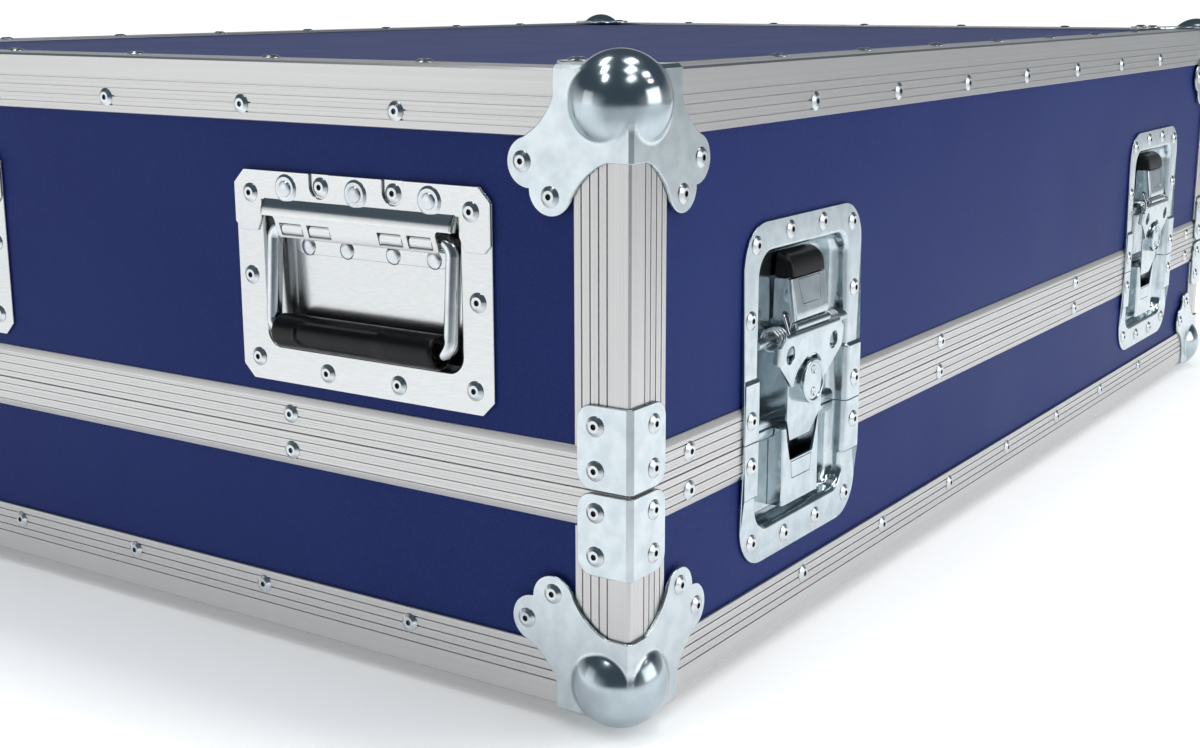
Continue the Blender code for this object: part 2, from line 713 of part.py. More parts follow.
def handle_cover():
    """Hinge cover: a plate over the top of the flange with an ear at each side."""
    level = handle_levels()
    half = HANDLE_PLATE_WIDTH / 2
    well = HANDLE_WELL_WIDTH / 2
    top = level["plate_top"]
    bottom = top - COVER_EAR_DROP
    cut = HANDLE_CHAMFER
    nick = COVER_EAR_CHAMFER
    right = [(well, level["well_top"]), (well, bottom + nick + COVER_EAR_INSET),
             (well + COVER_EAR_INSET, bottom), (half - nick, bottom), (half, bottom + nick),
             (half, top - cut), (half - cut, top)]
    left = [(-x, z) for x, z in reversed(right)]
    front = FLANGE_FRONT - COVER_SHEET
    return mesh_from(prism(right + left, front, FLANGE_FRONT + 0.0002, wall_point))


def rolled_wall():
    """The well's rolled top edge, a bent strip over the bail's turned-in ends."""
    level = handle_levels()
    top = level["well_top"]
    outer = [(top + 0.0015, FLANGE_FRONT + 0.0002), (top + 0.0012, FLANGE_FRONT - 0.0011),
             (top - 0.0015, FLANGE_FRONT - 0.0024), (top - 0.0045, FLANGE_FRONT - 0.0028),
             (top - 0.0068, FLANGE_FRONT - 0.0022)]
    inner = [(top - 0.0064, FLANGE_FRONT - 0.0011), (top - 0.0043, FLANGE_FRONT - 0.0017),
             (top - 0.0015, FLANGE_FRONT - 0.0012), (top - 0.0006, FLANGE_FRONT + 0.0002)]
    reach = HANDLE_WELL_WIDTH / 2 - PAN_DRAFT
    return mesh_from(prism(outer + inner, -reach, reach, across))


def hinge_leaf():
    """Strip riveted to the pan floor, with four knuckles round the bail's ends."""
    bail = BAIL_DIAMETER / 2
    inner = bail + RUNNING_GAP
    outer = inner + KNUCKLE_WALL
    centre = (0.0, BAIL_PIVOT_DEPTH)
    strip_top = -outer - 0.0002
    strip = box((-LEAF_WIDTH / 2, PAN_FLOOR - LEAF_SHEET, strip_top - LEAF_HEIGHT),
                (LEAF_WIDTH / 2, PAN_FLOOR + 0.0002, strip_top))
    rear = PAN_FLOOR + 0.0002
    foot = [(strip_top - 0.002, PAN_FLOOR - LEAF_SHEET / 2), (strip_top - 0.002, rear),
            (0.0, rear)]
    outline = arc(centre, outer, 335, 175, 3) + foot + arc(centre, inner, 95, 335, 6)
    parts = []
    for middle in KNUCKLE_CENTRES:
        for side in (-1, 1):
            low = side * middle - KNUCKLE_WIDTH / 2
            high = side * middle + KNUCKLE_WIDTH / 2
            parts.append(mesh_from(prism(outline, low, high, across)))
    return [strip] + parts


def handle_pan():
    level = handle_levels()
    well = HANDLE_WELL_WIDTH / 2
    low, high = level["well_low"], level["well_top"]
    round_corner = HANDLE_WELL_CORNER
    flange = chamfered_outline(HANDLE_PLATE_WIDTH / 2, level["plate_low"], level["plate_top"],
                               HANDLE_CHAMFER, 2)
    mouth = rounded_outline(well, low, high, round_corner, (), 2)
    floor = rounded_outline(well - PAN_DRAFT, low + PAN_DRAFT, high - PAN_DRAFT,
                            round_corner - PAN_DRAFT, (), 2)
    wall = rounded_outline(well + PAN_SHEET, low - PAN_SHEET, high + PAN_SHEET,
                           round_corner + PAN_SHEET, (), 2)

    def front(_):
        return FLANGE_FRONT

    def back(_):
        return FLANGE_FRONT + FLANGE_SHEET
    body = mesh_from(pan(flange, mouth, floor, wall, (front, back)))
    return combine(body, [handle_cover(), rolled_wall()] + hinge_leaf(), "UNION")


def tube(name, points, diameter, resolution):
    """Round wire through the points."""
    curve = bpy.data.curves.new(name, "CURVE")
    curve.dimensions = "3D"
    curve.bevel_depth = diameter / 2
    curve.bevel_resolution = resolution
    curve.use_fill_caps = True
    spline = curve.splines.new("POLY")
    spline.points.add(len(points) - 1)
    for spot, point in zip(spline.points, points):
        spot.co = (*point, 1.0)
    return curve


def bail_path():
    """Half of the bail in its own plane, from the turned-in end to the middle of the grip."""
    leg = BAIL_SPAN / 2
    bend = BAIL_BEND
    path = [(leg - BAIL_STUB, 0.0)]
    path += arc((leg - bend, -bend), bend, 90, 0, 3)
    path += arc((leg - bend, bend - BAIL_ARM), bend, 0, -90, 3)
    return path


def bail_curve():
    half = bail_path()
    whole = half + [(-x, z) for x, z in reversed(half)]
    slope = BAIL_LEAN / BAIL_ARM
    points = [Vector((x, z * slope, z)) for x, z in whole]
    return tube("bail", points, BAIL_DIAMETER, 2)


def grip_mesh():
    """Moulded grip turned about X, with a bore for the bail and wider mouths."""
    half = BAIL_SPAN / 2 - BAIL_DIAMETER / 2 - GRIP_END_GAP
    outer = GRIP_DIAMETER / 2
    bore = BAIL_DIAMETER / 2 + GRIP_GAP
    mouth = bore + GRIP_END_BORE
    edge = GRIP_END_ROUND
    section = [(-half, mouth), (-half, outer - edge), (edge - half, outer),
               (half - edge, outer), (half, outer - edge), (half, mouth),
               (half - GRIP_END_DEPTH, bore), (GRIP_END_DEPTH - half, bore)]
    loops = []
    for i in range(GRIP_SIDES):
        angle = 2 * math.pi * i / GRIP_SIDES
        loops.append([Vector((x, radius * math.cos(angle), radius * math.sin(angle)))
                      for x, radius in section])
    return mesh_from(loft(loops, closed=True), math.radians(40))


def add_handles():
    pan_mesh = handle_pan()
    grip = grip_mesh()
    height = TOP - HANDLE_PLATE_DROP - HANDLE_WELL_DROP - BAIL_DROP
    places = (("left_front", -1, -1), ("left_back", -1, 1),
              ("right_front", 1, -1), ("right_back", 1, 1))
    for name, side, along in places:
        seat = add_seat(f"handle_{name}_seat",
                        (side * CASE_LENGTH / 2, along * HANDLE_SPACING / 2, height),
                        side * math.pi / 2)
        add_piece(f"handle_pan_{name}", pan_mesh, "zinc", seat)
        pivot = (0.0, BAIL_PIVOT_DEPTH, 0.0)
        bail = add_piece(f"handle_bail_{name}", bail_curve(), "zinc", seat, pivot)
        add_piece(f"handle_grip_{name}", grip, "black", bail,
                  (0.0, -BAIL_LEAN, -BAIL_ARM))


# Recessed latches

def latch_pan():
    """The whole pan of a latch, before it is parted into a lid half and a base half."""
    half = LATCH_PLATE_WIDTH / 2
    well = LATCH_WELL_WIDTH / 2
    run = LATCH_STEP_RUN / 2
    steps = (-LATCH_STEP_DOWN - run, -LATCH_STEP_DOWN + run,
             LATCH_STEP_UP - run, LATCH_STEP_UP + run)
    raised = -SEAT_GAP - FLANGE_SHEET

    def front(z):
        if steps[1] - 1e-6 < z < steps[2] + 1e-6:
            return raised
        return FLANGE_FRONT

    def back(z):
        return front(z) + FLANGE_SHEET
    up, down = LATCH_WELL_UP, LATCH_WELL_DOWN
    flange = rounded_outline(half, -LATCH_PLATE_DOWN, LATCH_PLATE_UP, LATCH_PLATE_CORNER, steps)
    mouth = rounded_outline(well, -down, up, LATCH_WELL_CORNER, steps)
    floor = rounded_outline(well - PAN_DRAFT, PAN_DRAFT - down, up - PAN_DRAFT,
                            LATCH_WELL_CORNER - PAN_DRAFT, steps)
    wall = rounded_outline(well + PAN_SHEET, -down - PAN_SHEET, up + PAN_SHEET,
                           LATCH_WELL_CORNER + PAN_SHEET, steps)
    return pan(flange, mouth, floor, wall, (front, back))


def half_pan(is_lid):
    """The part of the latch pan on one side of the parting line."""
    sign = 1.0 if is_lid else -1.0
    bm = latch_pan()
    bmesh.ops.recalc_face_normals(bm, faces=bm.faces)
    everything = list(bm.verts) + list(bm.edges) + list(bm.faces)
    bmesh.ops.bisect_plane(bm, geom=everything, plane_co=(0.0, 0.0, sign * SEAT_GAP / 2),
                           plane_no=(0.0, 0.0, sign), clear_inner=True)
    edges = [edge for edge in bm.edges if edge.is_boundary]
    bmesh.ops.contextual_create(bm, geom=edges)
    return mesh_from(bm)


def rod(radius, half, centre, sides):
    """Rod along X; centre is (height, depth)."""
    return mesh_from(prism(arc(centre, radius, 0, 360 - 360 / sides, sides - 1),
                           -half, half, across))


def upper_pan():
    axle = rod(AXLE_DIAMETER / 2, LATCH_WELL_WIDTH / 2 + PAN_SHEET / 2,
               (AXLE_RISE, AXLE_DEPTH), 12)
    return combine(half_pan(True), [axle], "UNION")


def lower_pan():
    """Base half of the latch pan, with the keeper that the tongue hangs in."""
    half = KEEPER_WIDTH / 2
    head = -KEEPER_HEAD
    foot = -KEEPER_FOOT
    outline = [(-half, foot), (half, foot), (half, head), (NOTCH_HALF_TOP, head),
               (NOTCH_HALF_BOTTOM, -NOTCH_BOTTOM), (-NOTCH_HALF_BOTTOM, -NOTCH_BOTTOM),
               (-NOTCH_HALF_TOP, head), (-half, head)]
    face = mesh_from(prism(outline, KEEPER_DEPTH, NOTCH_FLOOR + 0.0002, wall_point))
    back = [(-half, foot), (half, foot), (half, head), (-half, head)]
    base = mesh_from(prism(back, NOTCH_FLOOR, PAN_FLOOR + 0.0003, wall_point))
    return combine(half_pan(False), [base, face], "UNION")


def lever_outline():
    """Front line of the lever as points (height, depth) about the axle."""
    out = AXLE_DEPTH
    return [(LEVER_TOP, -out - 0.0014), (LEVER_KNEE, -out - 0.0043),
            (LEVER_LIP + 0.0012, -out - 0.0040), (LEVER_LIP, -out - 0.0024)]


def lever():
    """Channel-shaped lever with its axle and spring holes; the origin is on the axle."""
    half = LEVER_WIDTH / 2
    sheet = LEVER_SHEET
    front = lever_outline()
    back = [(z - (0.0002 if i == 0 else 0.0), y + sheet) for i, (z, y) in enumerate(front)]
    back[-1] = (LEVER_LIP + 0.0011, -AXLE_DEPTH - 0.0022)
    plate = mesh_from(prism(front + list(reversed(back)), -half, half, across))
    rear = PAN_FLOOR - AXLE_DEPTH - 2 * RUNNING_GAP
    cheek = LEVER_CHEEK
    side = [(LEVER_TOP - 0.0001, -AXLE_DEPTH - 0.0013), (LEVER_KNEE, -AXLE_DEPTH - 0.0042),
            (LEVER_LIP + 0.001, -AXLE_DEPTH - 0.0030)]
    side += arc((0.0, 0.0), cheek, -70, -180, 4)
    side += arc((0.0, 0.0), cheek, -180, -270, 3)[1:]
    side += [(LEVER_TOP - 0.0001, min(cheek, rear))]
    cheeks = []
    for sign in (-1, 1):
        low, high = sorted((sign * half, sign * (half - sheet)))
        cheeks.append(mesh_from(prism(side, low, high, across)))
    solid = combine(plate, cheeks, "UNION")
    hole = spring_hook_point()
    cutters = [rod(AXLE_DIAMETER / 2 + RUNNING_GAP / 2, half + 0.005, (0.0, 0.0), 12),
               rod(SPRING_HOLE / 2, half + 0.005, hole, 8)]
    return combine(solid, cutters, "DIFFERENCE")


def lever_tip():
    """Moulded tip on the end of the lever."""
    half = TIP_WIDTH / 2
    out = AXLE_DEPTH
    low = LEVER_TOP + SEAT_GAP
    high = LEVER_TOP + TIP_LENGTH
    rear = PAN_FLOOR - AXLE_DEPTH - 2 * RUNNING_GAP
    section = [(low, -out - 0.0016), (low + 0.0040, -out - 0.0012),
               (low + 0.0080, -out + 0.0006), (high - 0.0018, -out + 0.0026),
               (high, -out + 0.0052), (high, rear), (low, rear)]
    return mesh_from(prism(section, -half, half, across), math.radians(40))


def spring_hook_point():
    """Where the spring's bridge goes through the lever, as (height, depth) from the axle."""
    return (0.0115, -(AXLE_DEPTH - 0.0014))


def spring_path():
    """Centre line of the double torsion spring, coil to bridge to coil, about the axle."""
    hook = spring_hook_point()
    reach = math.hypot(*hook)
    hook_angle = math.atan2(-hook[1], hook[0])
    leave = hook_angle + math.acos(SPRING_MEAN_RADIUS / reach)
    total = SPRING_TURNS * SPRING_POINTS
    turns = []
    for i in range(total + 1):
        angle = leave + 2 * math.pi * i / SPRING_POINTS
        x = SPRING_START + SPRING_PITCH * i / SPRING_POINTS
        turns.append(Vector((x, -SPRING_MEAN_RADIUS * math.sin(angle),
                             SPRING_MEAN_RADIUS * math.cos(angle))))
    last = turns[-1] + (turns[-1] - turns[-2]).normalized() * SPRING_WIRE
    side = list(reversed(turns + [last]))
    bend = SPRING_WIRE
    before = Vector((SPRING_START - bend * 0.3, hook[1], hook[0]))
    inward = Vector((SPRING_START - bend * 1.3, hook[1], hook[0]))
    back_off = (turns[0] - before).normalized() * bend
    side += [before + back_off, before + back_off * 0.3 + Vector((-bend * 0.1, 0.0, 0.0)),
             inward]
    return side + [Vector((-p.x, p.y, p.z)) for p in reversed(side)]


def least_gap(points, wire, near=6):
    """Smallest clear distance between stretches of a wire that aren't neighbours."""
    closest = 1.0
    for i, first in enumerate(points):
        for j in range(i + near, len(points) - 1):
            start, end = points[j], points[j + 1]
            line = end - start
            share = min(max((first - start).dot(line) / line.length_squared, 0.0), 1.0)
            closest = min(closest, (first - start - line * share).length)
    return closest - wire


def hook_plate_outline():
    """Front plate of the hook as points (x, height below the hook pin as negative)."""
    arch = DISC_DIAMETER / 2 + DISC_ARCH
    centre = -DISC_DROP
    tip = -HOOK_TIP_DROP
    inner = HOOK_HALF_TIP - HOOK_TIP_WIDTH
    start = math.degrees(math.acos(min(inner / arch, 1.0)))
    right = [(HOOK_HALF_TOP, -HOOK_TOP_DROP), (HOOK_HALF_WIDTH, -HOOK_SHOULDER_DROP),
             (HOOK_HALF_WIDTH, -HOOK_SHOULDER_DROP - HOOK_SIDE_LENGTH), (HOOK_HALF_TIP, tip),
             (inner, tip)]
    left = [(-x, z) for x, z in reversed(right)]
    curve = arc((0.0, centre), arch, 180 - start, start, 8)
    return right[:5] + list(reversed(curve[1:-1])) + left


def hook_depth(z):
    """Depth of the front plate's face, which leans inward towards its foot."""
    return -(HOOK_PIN_DIAMETER / 2 + 0.0004) - HOOK_SLOPE * (z + HOOK_TOP_DROP)


def hook():
    """Hook plate with folded sides, disc and tongue; the origin is on the hook pin."""
    outline = hook_plate_outline()

    def leaning(x, z, t):
        return Vector((x, hook_depth(z) + t, z))
    plate = mesh_from(prism(outline, 0.0, HOOK_SHEET, leaning))
    holes = []
    for side in (-1, 1):
        ring = arc((side * HOOK_HOLE_HALF, -HOOK_HOLE_DROP), HOOK_HOLE_DIAMETER / 2, 0, 324, 9)
        holes.append(mesh_from(prism(ring, -0.004, 0.006, leaning)))
    plate = combine(plate, holes, "DIFFERENCE")
    parts = []
    shoulder = -HOOK_SHOULDER_DROP
    heel = shoulder - HOOK_SIDE_LENGTH
    for side in (-1, 1):
        outer = side * HOOK_HALF_WIDTH
        low, high = sorted((outer, outer - side * HOOK_SHEET))
        fold = [(low, shoulder - 0.0004), (high, shoulder - 0.0004), (high, heel + 0.0004),
                (low, heel + 0.0004)]
        parts.append(mesh_from(prism(fold, HOOK_SHEET / 2, HOOK_RETURN, leaning)))
    pin_half = LEVER_WIDTH / 2 - LEVER_SHEET - RUNNING_GAP / 2
    parts.append(rod(HOOK_PIN_DIAMETER / 2, pin_half, (0.0, 0.0), 10))
    web = [(0.0, -HOOK_PIN_DIAMETER / 2), (0.0, 0.0), (-0.0035, hook_depth(-0.0035) + HOOK_SHEET),
           (-0.0035, hook_depth(-0.0035) + 0.0001)]
    parts.append(mesh_from(prism(web, -pin_half, pin_half, across)))
    face = TONGUE_PLATE_BACK
    tongue_back = face + HOOK_SHEET
    top = -TONGUE_PLATE_TOP - 0.0002
    low = -TONGUE_PLATE_TOP - SPACER_HEIGHT
    front = hook_depth(-TONGUE_PLATE_TOP) + HOOK_SHEET / 2
    back = face + HOOK_SHEET / 2
    spacer = [(top, front), (top, back), (low, back), (low, front)]
    parts.append(mesh_from(prism(spacer, -SPACER_WIDTH / 2, SPACER_WIDTH / 2, across)))

    def tongue_depth(z):
        past = max(-z - TONGUE_PLATE_BEND, 0.0)
        return face + TONGUE_PLATE_DIP * past / (TONGUE_PLATE_END - TONGUE_PLATE_BEND)
    shape = [(-TONGUE_PLATE_HALF, -TONGUE_PLATE_TOP), (-TONGUE_PLATE_HALF, -TONGUE_PLATE_BEND),
             (-TONGUE_PLATE_TIP, -TONGUE_PLATE_END), (TONGUE_PLATE_TIP, -TONGUE_PLATE_END),
             (TONGUE_PLATE_HALF, -TONGUE_PLATE_BEND), (TONGUE_PLATE_HALF, -TONGUE_PLATE_TOP)]
    tongue = mesh_from(prism(shape, 0.0, tongue_back - face,
                             lambda x, z, t: Vector((x, tongue_depth(z) + t, z))))
    parts.append(tongue)
    ring = arc((0.0, -DISC_DROP), DISC_DIAMETER / 2, 0, 340, 17)
    disc = mesh_from(prism(ring, face + 0.0003 - DISC_HEIGHT, face + 0.0003, wall_point))
    parts.append(disc)
    return combine(plate, parts, "UNION")


def add_latches():
    upper = upper_pan()
    lower = lower_pan()
    lever_mesh = lever()
    tip_mesh = lever_tip()
    hook_mesh = hook()
    path = spring_path()
    print("least gap of the latch springs, mm:", round(least_gap(path, SPRING_WIRE) * 1000, 3))
    places = (("front_left", -1, -1), ("front_right", 1, -1),
              ("back_left", -1, 1), ("back_right", 1, 1))
    for name, along, side in places:
        seat = add_seat(f"latch_{name}_seat",
                        (along * LATCH_SPACING / 2, side * CASE_WIDTH / 2, PARTING),
                        0.0 if side < 0 else math.pi)
        add_piece(f"latch_upper_pan_{name}", upper, "zinc", seat)
        add_piece(f"latch_lower_pan_{name}", lower, "zinc", seat)
        axle = (0.0, AXLE_DEPTH, AXLE_RISE)
        arm = add_piece(f"latch_lever_{name}", lever_mesh, "zinc", seat, axle)
        add_piece(f"latch_tip_{name}", tip_mesh, "black", arm)
        add_piece(f"latch_spring_{name}", tube("spring", path, SPRING_WIRE, 1), "zinc", arm)
        pin = (0.0, -HOOK_PIN_OUT, HOOK_PIN_RISE)
        add_piece(f"latch_hook_{name}", hook_mesh, "zinc", arm, pin)


def build_case():
    clear_scene()
    for is_lid in (False, True):
        half = "lid" if is_lid else "base"
        add_piece(f"{half}_edge_frame", edge_frame(is_lid), "aluminium")
        add_piece(f"{half}_rim", closing_rim(is_lid), "aluminium")
        add_panels(is_lid)
        add_piece(f"{half}_foam", foam_tray(is_lid), "foam")
    add_ball_corners()
    add_handles()
    add_latches()


build_case()
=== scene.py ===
from math import acos, atan2, copysign, cos, degrees, hypot, pi, radians, sin, sqrt, tan

import bmesh
import bpy
import numpy as np
from mathutils import Matrix, Vector, geometry


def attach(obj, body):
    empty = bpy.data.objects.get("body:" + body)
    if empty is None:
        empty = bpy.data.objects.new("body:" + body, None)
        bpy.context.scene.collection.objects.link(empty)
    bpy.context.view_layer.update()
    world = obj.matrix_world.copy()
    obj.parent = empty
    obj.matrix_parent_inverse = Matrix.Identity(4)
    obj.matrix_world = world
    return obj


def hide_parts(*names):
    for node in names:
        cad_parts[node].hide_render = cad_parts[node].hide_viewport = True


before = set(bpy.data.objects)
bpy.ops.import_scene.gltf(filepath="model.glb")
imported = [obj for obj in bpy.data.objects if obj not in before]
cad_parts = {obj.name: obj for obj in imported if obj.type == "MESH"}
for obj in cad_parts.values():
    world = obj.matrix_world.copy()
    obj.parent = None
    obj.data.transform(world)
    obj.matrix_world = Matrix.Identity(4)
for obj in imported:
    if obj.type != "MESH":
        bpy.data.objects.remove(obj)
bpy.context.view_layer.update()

caseSize = {
    "length": 966.0, "width": 667.0, "underside": 8.8, "parting": 118.4, "top": 306.8,
    "gap": 0.3,            # between pieces that touch
}
halfX = caseSize["length"] / 2
halfY = caseSize["width"] / 2


# Shells: points and faces of one piece, in millimetres

class Shell:
    def __init__(self):
        self.points = []
        self.faces = []
        self.tones = []        # material number of each face

    def add(self, points, faces, tone=0):
        start = len(self.points)
        self.points += [tuple(p) for p in points]
        self.faces += [tuple(start + k for k in face) for face in faces]
        self.tones += [tone] * len(faces)

    def addShell(self, other, matrix):
        start = len(self.points)
        self.points += [tuple(matrix @ Vector(p)) for p in other.points]
        self.faces += [tuple(start + k for k in face) for face in other.faces]
        self.tones += other.tones


def skin(shell, loops, closed=False, tone=0):
    # rows of points with equal counts; the ends are capped unless closed
    count = len(loops[0])
    rows = len(loops)
    faces = []
    for r in range(rows if closed else rows - 1):
        low = r * count
        high = ((r + 1) % rows) * count
        for i in range(count):
            j = (i + 1) % count
            faces.append((low + i, low + j, high + j, high + i))
    if not closed:
        faces.append(tuple(range(count)))
        faces.append(tuple(range((rows - 1) * count, rows * count)))
    shell.add([p for loop in loops for p in loop], faces, tone)


def turned(shell, profile, place, steps, tone=0):
    # profile of (radius, height), turned about the height axis
    loops = []
    for i in range(steps):
        angle = 2 * pi * i / steps
        loops.append([place(r * cos(angle), r * sin(angle), h) for r, h in profile])
    skin(shell, loops, closed=True, tone=tone)


def wire(shell, path, radius, sides, tone=0):
    # round wire along a path, with its frame carried along
    path = [Vector(p) for p in path]
    up = Vector((0, 0, 1))
    loops = []
    normal = None
    for i, point in enumerate(path):
        before = path[max(i - 1, 0)]
        after = path[min(i + 1, len(path) - 1)]
        along = (after - before).normalized()
        if normal is None:
            normal = along.cross(up if abs(along.z) < 0.9 else Vector((1, 0, 0))).normalized()
        normal = (normal - along * normal.dot(along)).normalized()
        side = along.cross(normal)
        loops.append([point + radius * (normal * cos(2 * pi * k / sides)
                                        + side * sin(2 * pi * k / sides))
                      for k in range(sides)])
    skin(shell, loops, tone=tone)


def makeMesh(name, shell, matrix=Matrix(), crease=32.0, weld=False):
    mesh = bpy.data.meshes.new(name)
    bm = bmesh.new()
    verts = [bm.verts.new(0.001 * (matrix @ Vector(p))) for p in shell.points]
    for face, tone in zip(shell.faces, shell.tones):
        try:
            made = bm.faces.new([verts[k] for k in face])
        except ValueError:     # a face that is there already
            continue
        made.material_index = tone
    if weld:
        bmesh.ops.remove_doubles(bm, verts=bm.verts, dist=2e-6)
    bmesh.ops.recalc_face_normals(bm, faces=bm.faces)
    if bm.calc_volume(signed=True) < 0:
        bmesh.ops.reverse_faces(bm, faces=bm.faces)
    bm.to_mesh(mesh)
    bm.free()
    mesh.shade_smooth()
    mesh.set_sharp_from_angle(angle=radians(crease))
    return mesh


def addObject(name, data):
    made = bpy.data.objects.new(name, data)
    bpy.context.scene.collection.objects.link(made)
    return made


def makePiece(name, shell, finishes, body, matrix=Matrix(), crease=32.0, weld=False,
              flatten=True):
    # finishes are named, in the order of the shell's tones
    mesh = makeMesh(name, shell, matrix, crease, weld)
    for kind in finishes:
        mesh.materials.append(finish[kind])
    piece = addObject(name, mesh)
    if flatten:
        even = piece.modifiers.new("flatFaces", "WEIGHTED_NORMAL")
        even.keep_sharp = True
        even.weight = 60
    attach(piece, body)
    return piece


def titled(name):
    # front_left as FrontLeft
    return name.title().replace("_", "")


def atCorner(sideX, sideY, up, level):
    # from a corner of the case, measured inwards, to its place
    return Matrix(((-sideX, 0, 0, sideX * halfX), (0, -sideY, 0, sideY * halfY),
                   (0, 0, up, level), (0, 0, 0, 1)))


# Outlines

def roundCorners(corners, radius, steps=6):
    # one radius for all corners or one for each; 0 keeps a corner sharp
    out = []
    count = len(corners)
    for i, corner in enumerate(corners):
        bend = radius[i] if isinstance(radius, (list, tuple)) else radius
        here = Vector(corner)
        if bend <= 0:
            out.append((here.x, here.y))
            continue
        back = Vector(corners[i - 1]) - here
        ahead = Vector(corners[(i + 1) % count]) - here
        room = 0.49 * min(back.length, ahead.length)
        back.normalize()
        ahead.normalize()
        half = acos(max(-1.0, min(1.0, back.dot(ahead)))) / 2
        run = min(bend / tan(half), room)
        bend = run * tan(half)
        centre = here + (back + ahead).normalized() * (bend / sin(half))
        start = here + back * run - centre
        end = here + ahead * run - centre
        first = atan2(start.y, start.x)
        sweep = (atan2(end.y, end.x) - first + pi) % (2 * pi) - pi
        for k in range(steps + 1):
            angle = first + sweep * k / steps
            out.append((centre.x + bend * cos(angle), centre.y + bend * sin(angle)))
    return out


def mirrored(right):
    # a symmetric outline from its right half
    return right + [(-u, v) for u, v in reversed(right)]


def roundedBox(half, low, high, radius, steps=8):
    return roundCorners(mirrored([(half, low), (half, high)]), radius, steps)


def ring(centre, radius, steps):
    return [(centre[0] + radius * cos(2 * pi * k / steps),
             centre[1] + radius * sin(2 * pi * k / steps)) for k in range(steps)]


def counterClockwise(loop):
    area = sum(loop[i - 1][0] * p[1] - p[0] * loop[i - 1][1] for i, p in enumerate(loop))
    return list(loop) if area > 0 else list(reversed(loop))


def insetLoop(loop, amount):
    # to the left of its direction, with mitred corners
    pts = np.array(loop, float)
    before = pts - np.roll(pts, 1, 0)
    after = np.roll(pts, -1, 0) - pts
    before /= np.linalg.norm(before, axis=1)[:, None]
    after /= np.linalg.norm(after, axis=1)[:, None]
    n1 = np.stack((-before[:, 1], before[:, 0]), 1)
    n2 = np.stack((-after[:, 1], after[:, 0]), 1)
    middle = n1 + n2
    middle /= np.linalg.norm(middle, axis=1)[:, None]
    reach = 1.0 / np.maximum((middle * n1).sum(1), 0.4)
    return [tuple(p) for p in pts + middle * (amount * reach)[:, None]]


def insideLoop(loop, spots):
    pts = np.array(loop, float)
    nxt = np.roll(pts, -1, 0)
    x, y = spots[:, 0:1], spots[:, 1:2]
    crosses = (pts[:, 1] > y) != (nxt[:, 1] > y)
    rise = np.where(nxt[:, 1] == pts[:, 1], 1e-9, nxt[:, 1] - pts[:, 1])
    at = pts[:, 0] + (y - pts[:, 1]) * (nxt[:, 0] - pts[:, 0]) / rise
    return (crosses & (x < at)).sum(1) % 2 == 1


def fillRegion(loops, chains=(), spots=()):
    # flat triangles inside the first loop and outside the others
    points = []
    edges = []
    for loop in loops:
        start = len(points)
        points += loop
        edges += [(start + i, start + (i + 1) % len(loop)) for i in range(len(loop))]
    for chain in chains:
        start = len(points)
        points += chain
        edges += [(start + i, start + i + 1) for i in range(len(chain) - 1)]
    rim = np.array(points, float)
    if len(spots):
        loose = np.array(spots, float)
        clear = np.sqrt(((loose[:, None, :] - rim[None, :, :]) ** 2).sum(2)).min(1) > 0.3
        keep = clear & insideLoop(loops[0], loose)
        for loop in loops[1:]:
            keep &= ~insideLoop(loop, loose)
        points = points + [tuple(p) for p in loose[keep]]
    found = geometry.delaunay_2d_cdt([Vector(p) for p in points], edges, [], 0, 1e-4)
    verts = [(v.x, v.y) for v in found[0]]
    triangles = [tuple(t) for t in found[2]]
    flat = np.array(verts)
    middle = flat[np.array(triangles)].mean(1)
    keep = insideLoop(loops[0], middle)
    for loop in loops[1:]:
        keep &= ~insideLoop(loop, middle)
    return verts, [t for t, good in zip(triangles, keep) if good]


# points of a rounded edge, outwards and down, as shares of its radius
edgeArc = ((0.35, 0.12), (0.74, 0.4), (1.0, 1.0))


def pressSheet(shell, outer, holes, thickness, edge, place, rise=None, chains=()):
    # sheet metal over a region: place(u, v, depth), with rounded edges and a pressed form
    lift = rise or (lambda u, v: 0.0)
    loops = [counterClockwise(outer)] + [counterClockwise(hole) for hole in holes]
    if edge > 0:
        loops = [insetLoop(loop, -edge if i else edge) for i, loop in enumerate(loops)]
    verts, triangles = fillRegion(loops, chains)
    used = sorted({k for t in triangles for k in t})
    slot = {k: i for i, k in enumerate(used)}
    flat = [verts[k] for k in used]
    triangles = [tuple(slot[k] for k in t) for t in triangles]
    heights = [lift(u, v) for u, v in flat]
    directed = {(t[i], t[(i + 1) % 3]) for t in triangles for i in range(3)}
    border = [(a, b) for a, b in directed if (b, a) not in directed]
    outward = {}
    for a, b in border:
        run = Vector(flat[b]) - Vector(flat[a])
        normal = Vector((run.y, -run.x)).normalized()
        outward.setdefault(a, []).append(normal)
        outward.setdefault(b, []).append(normal)
    rims = sorted(outward)
    number = {k: i for i, k in enumerate(rims)}
    moves = []
    for k in rims:
        total = sum(outward[k], Vector((0.0, 0.0))).normalized()
        moves.append(total / max(total.dot(outward[k][0]), 0.4))
    levels = []
    if edge > 0:
        levels = [(out * edge, down * edge) for out, down in edgeArc]
        levels += [(edge, thickness - edge), (0.7 * edge, thickness - 0.3 * edge)]
    points = [place(u, v, h) for (u, v), h in zip(flat, heights)]
    for out, depth in levels:
        points += [place(flat[k][0] + out * move.x, flat[k][1] + out * move.y,
                         heights[k] + depth) for k, move in zip(rims, moves)]
    backStart = len(points)
    points += [place(u, v, h + thickness) for (u, v), h in zip(flat, heights)]
    faces = list(triangles)
    faces += [tuple(backStart + k for k in reversed(t)) for t in triangles]
    for a, b in border:
        rows = [(a, b)]
        for level in range(len(levels)):
            start = len(flat) + level * len(rims)
            rows.append((start + number[a], start + number[b]))
        rows.append((backStart + a, backStart + b))
        for (a0, b0), (a1, b1) in zip(rows, rows[1:]):
            faces.append((b0, a0, a1, b1))
    shell.add(points, faces)


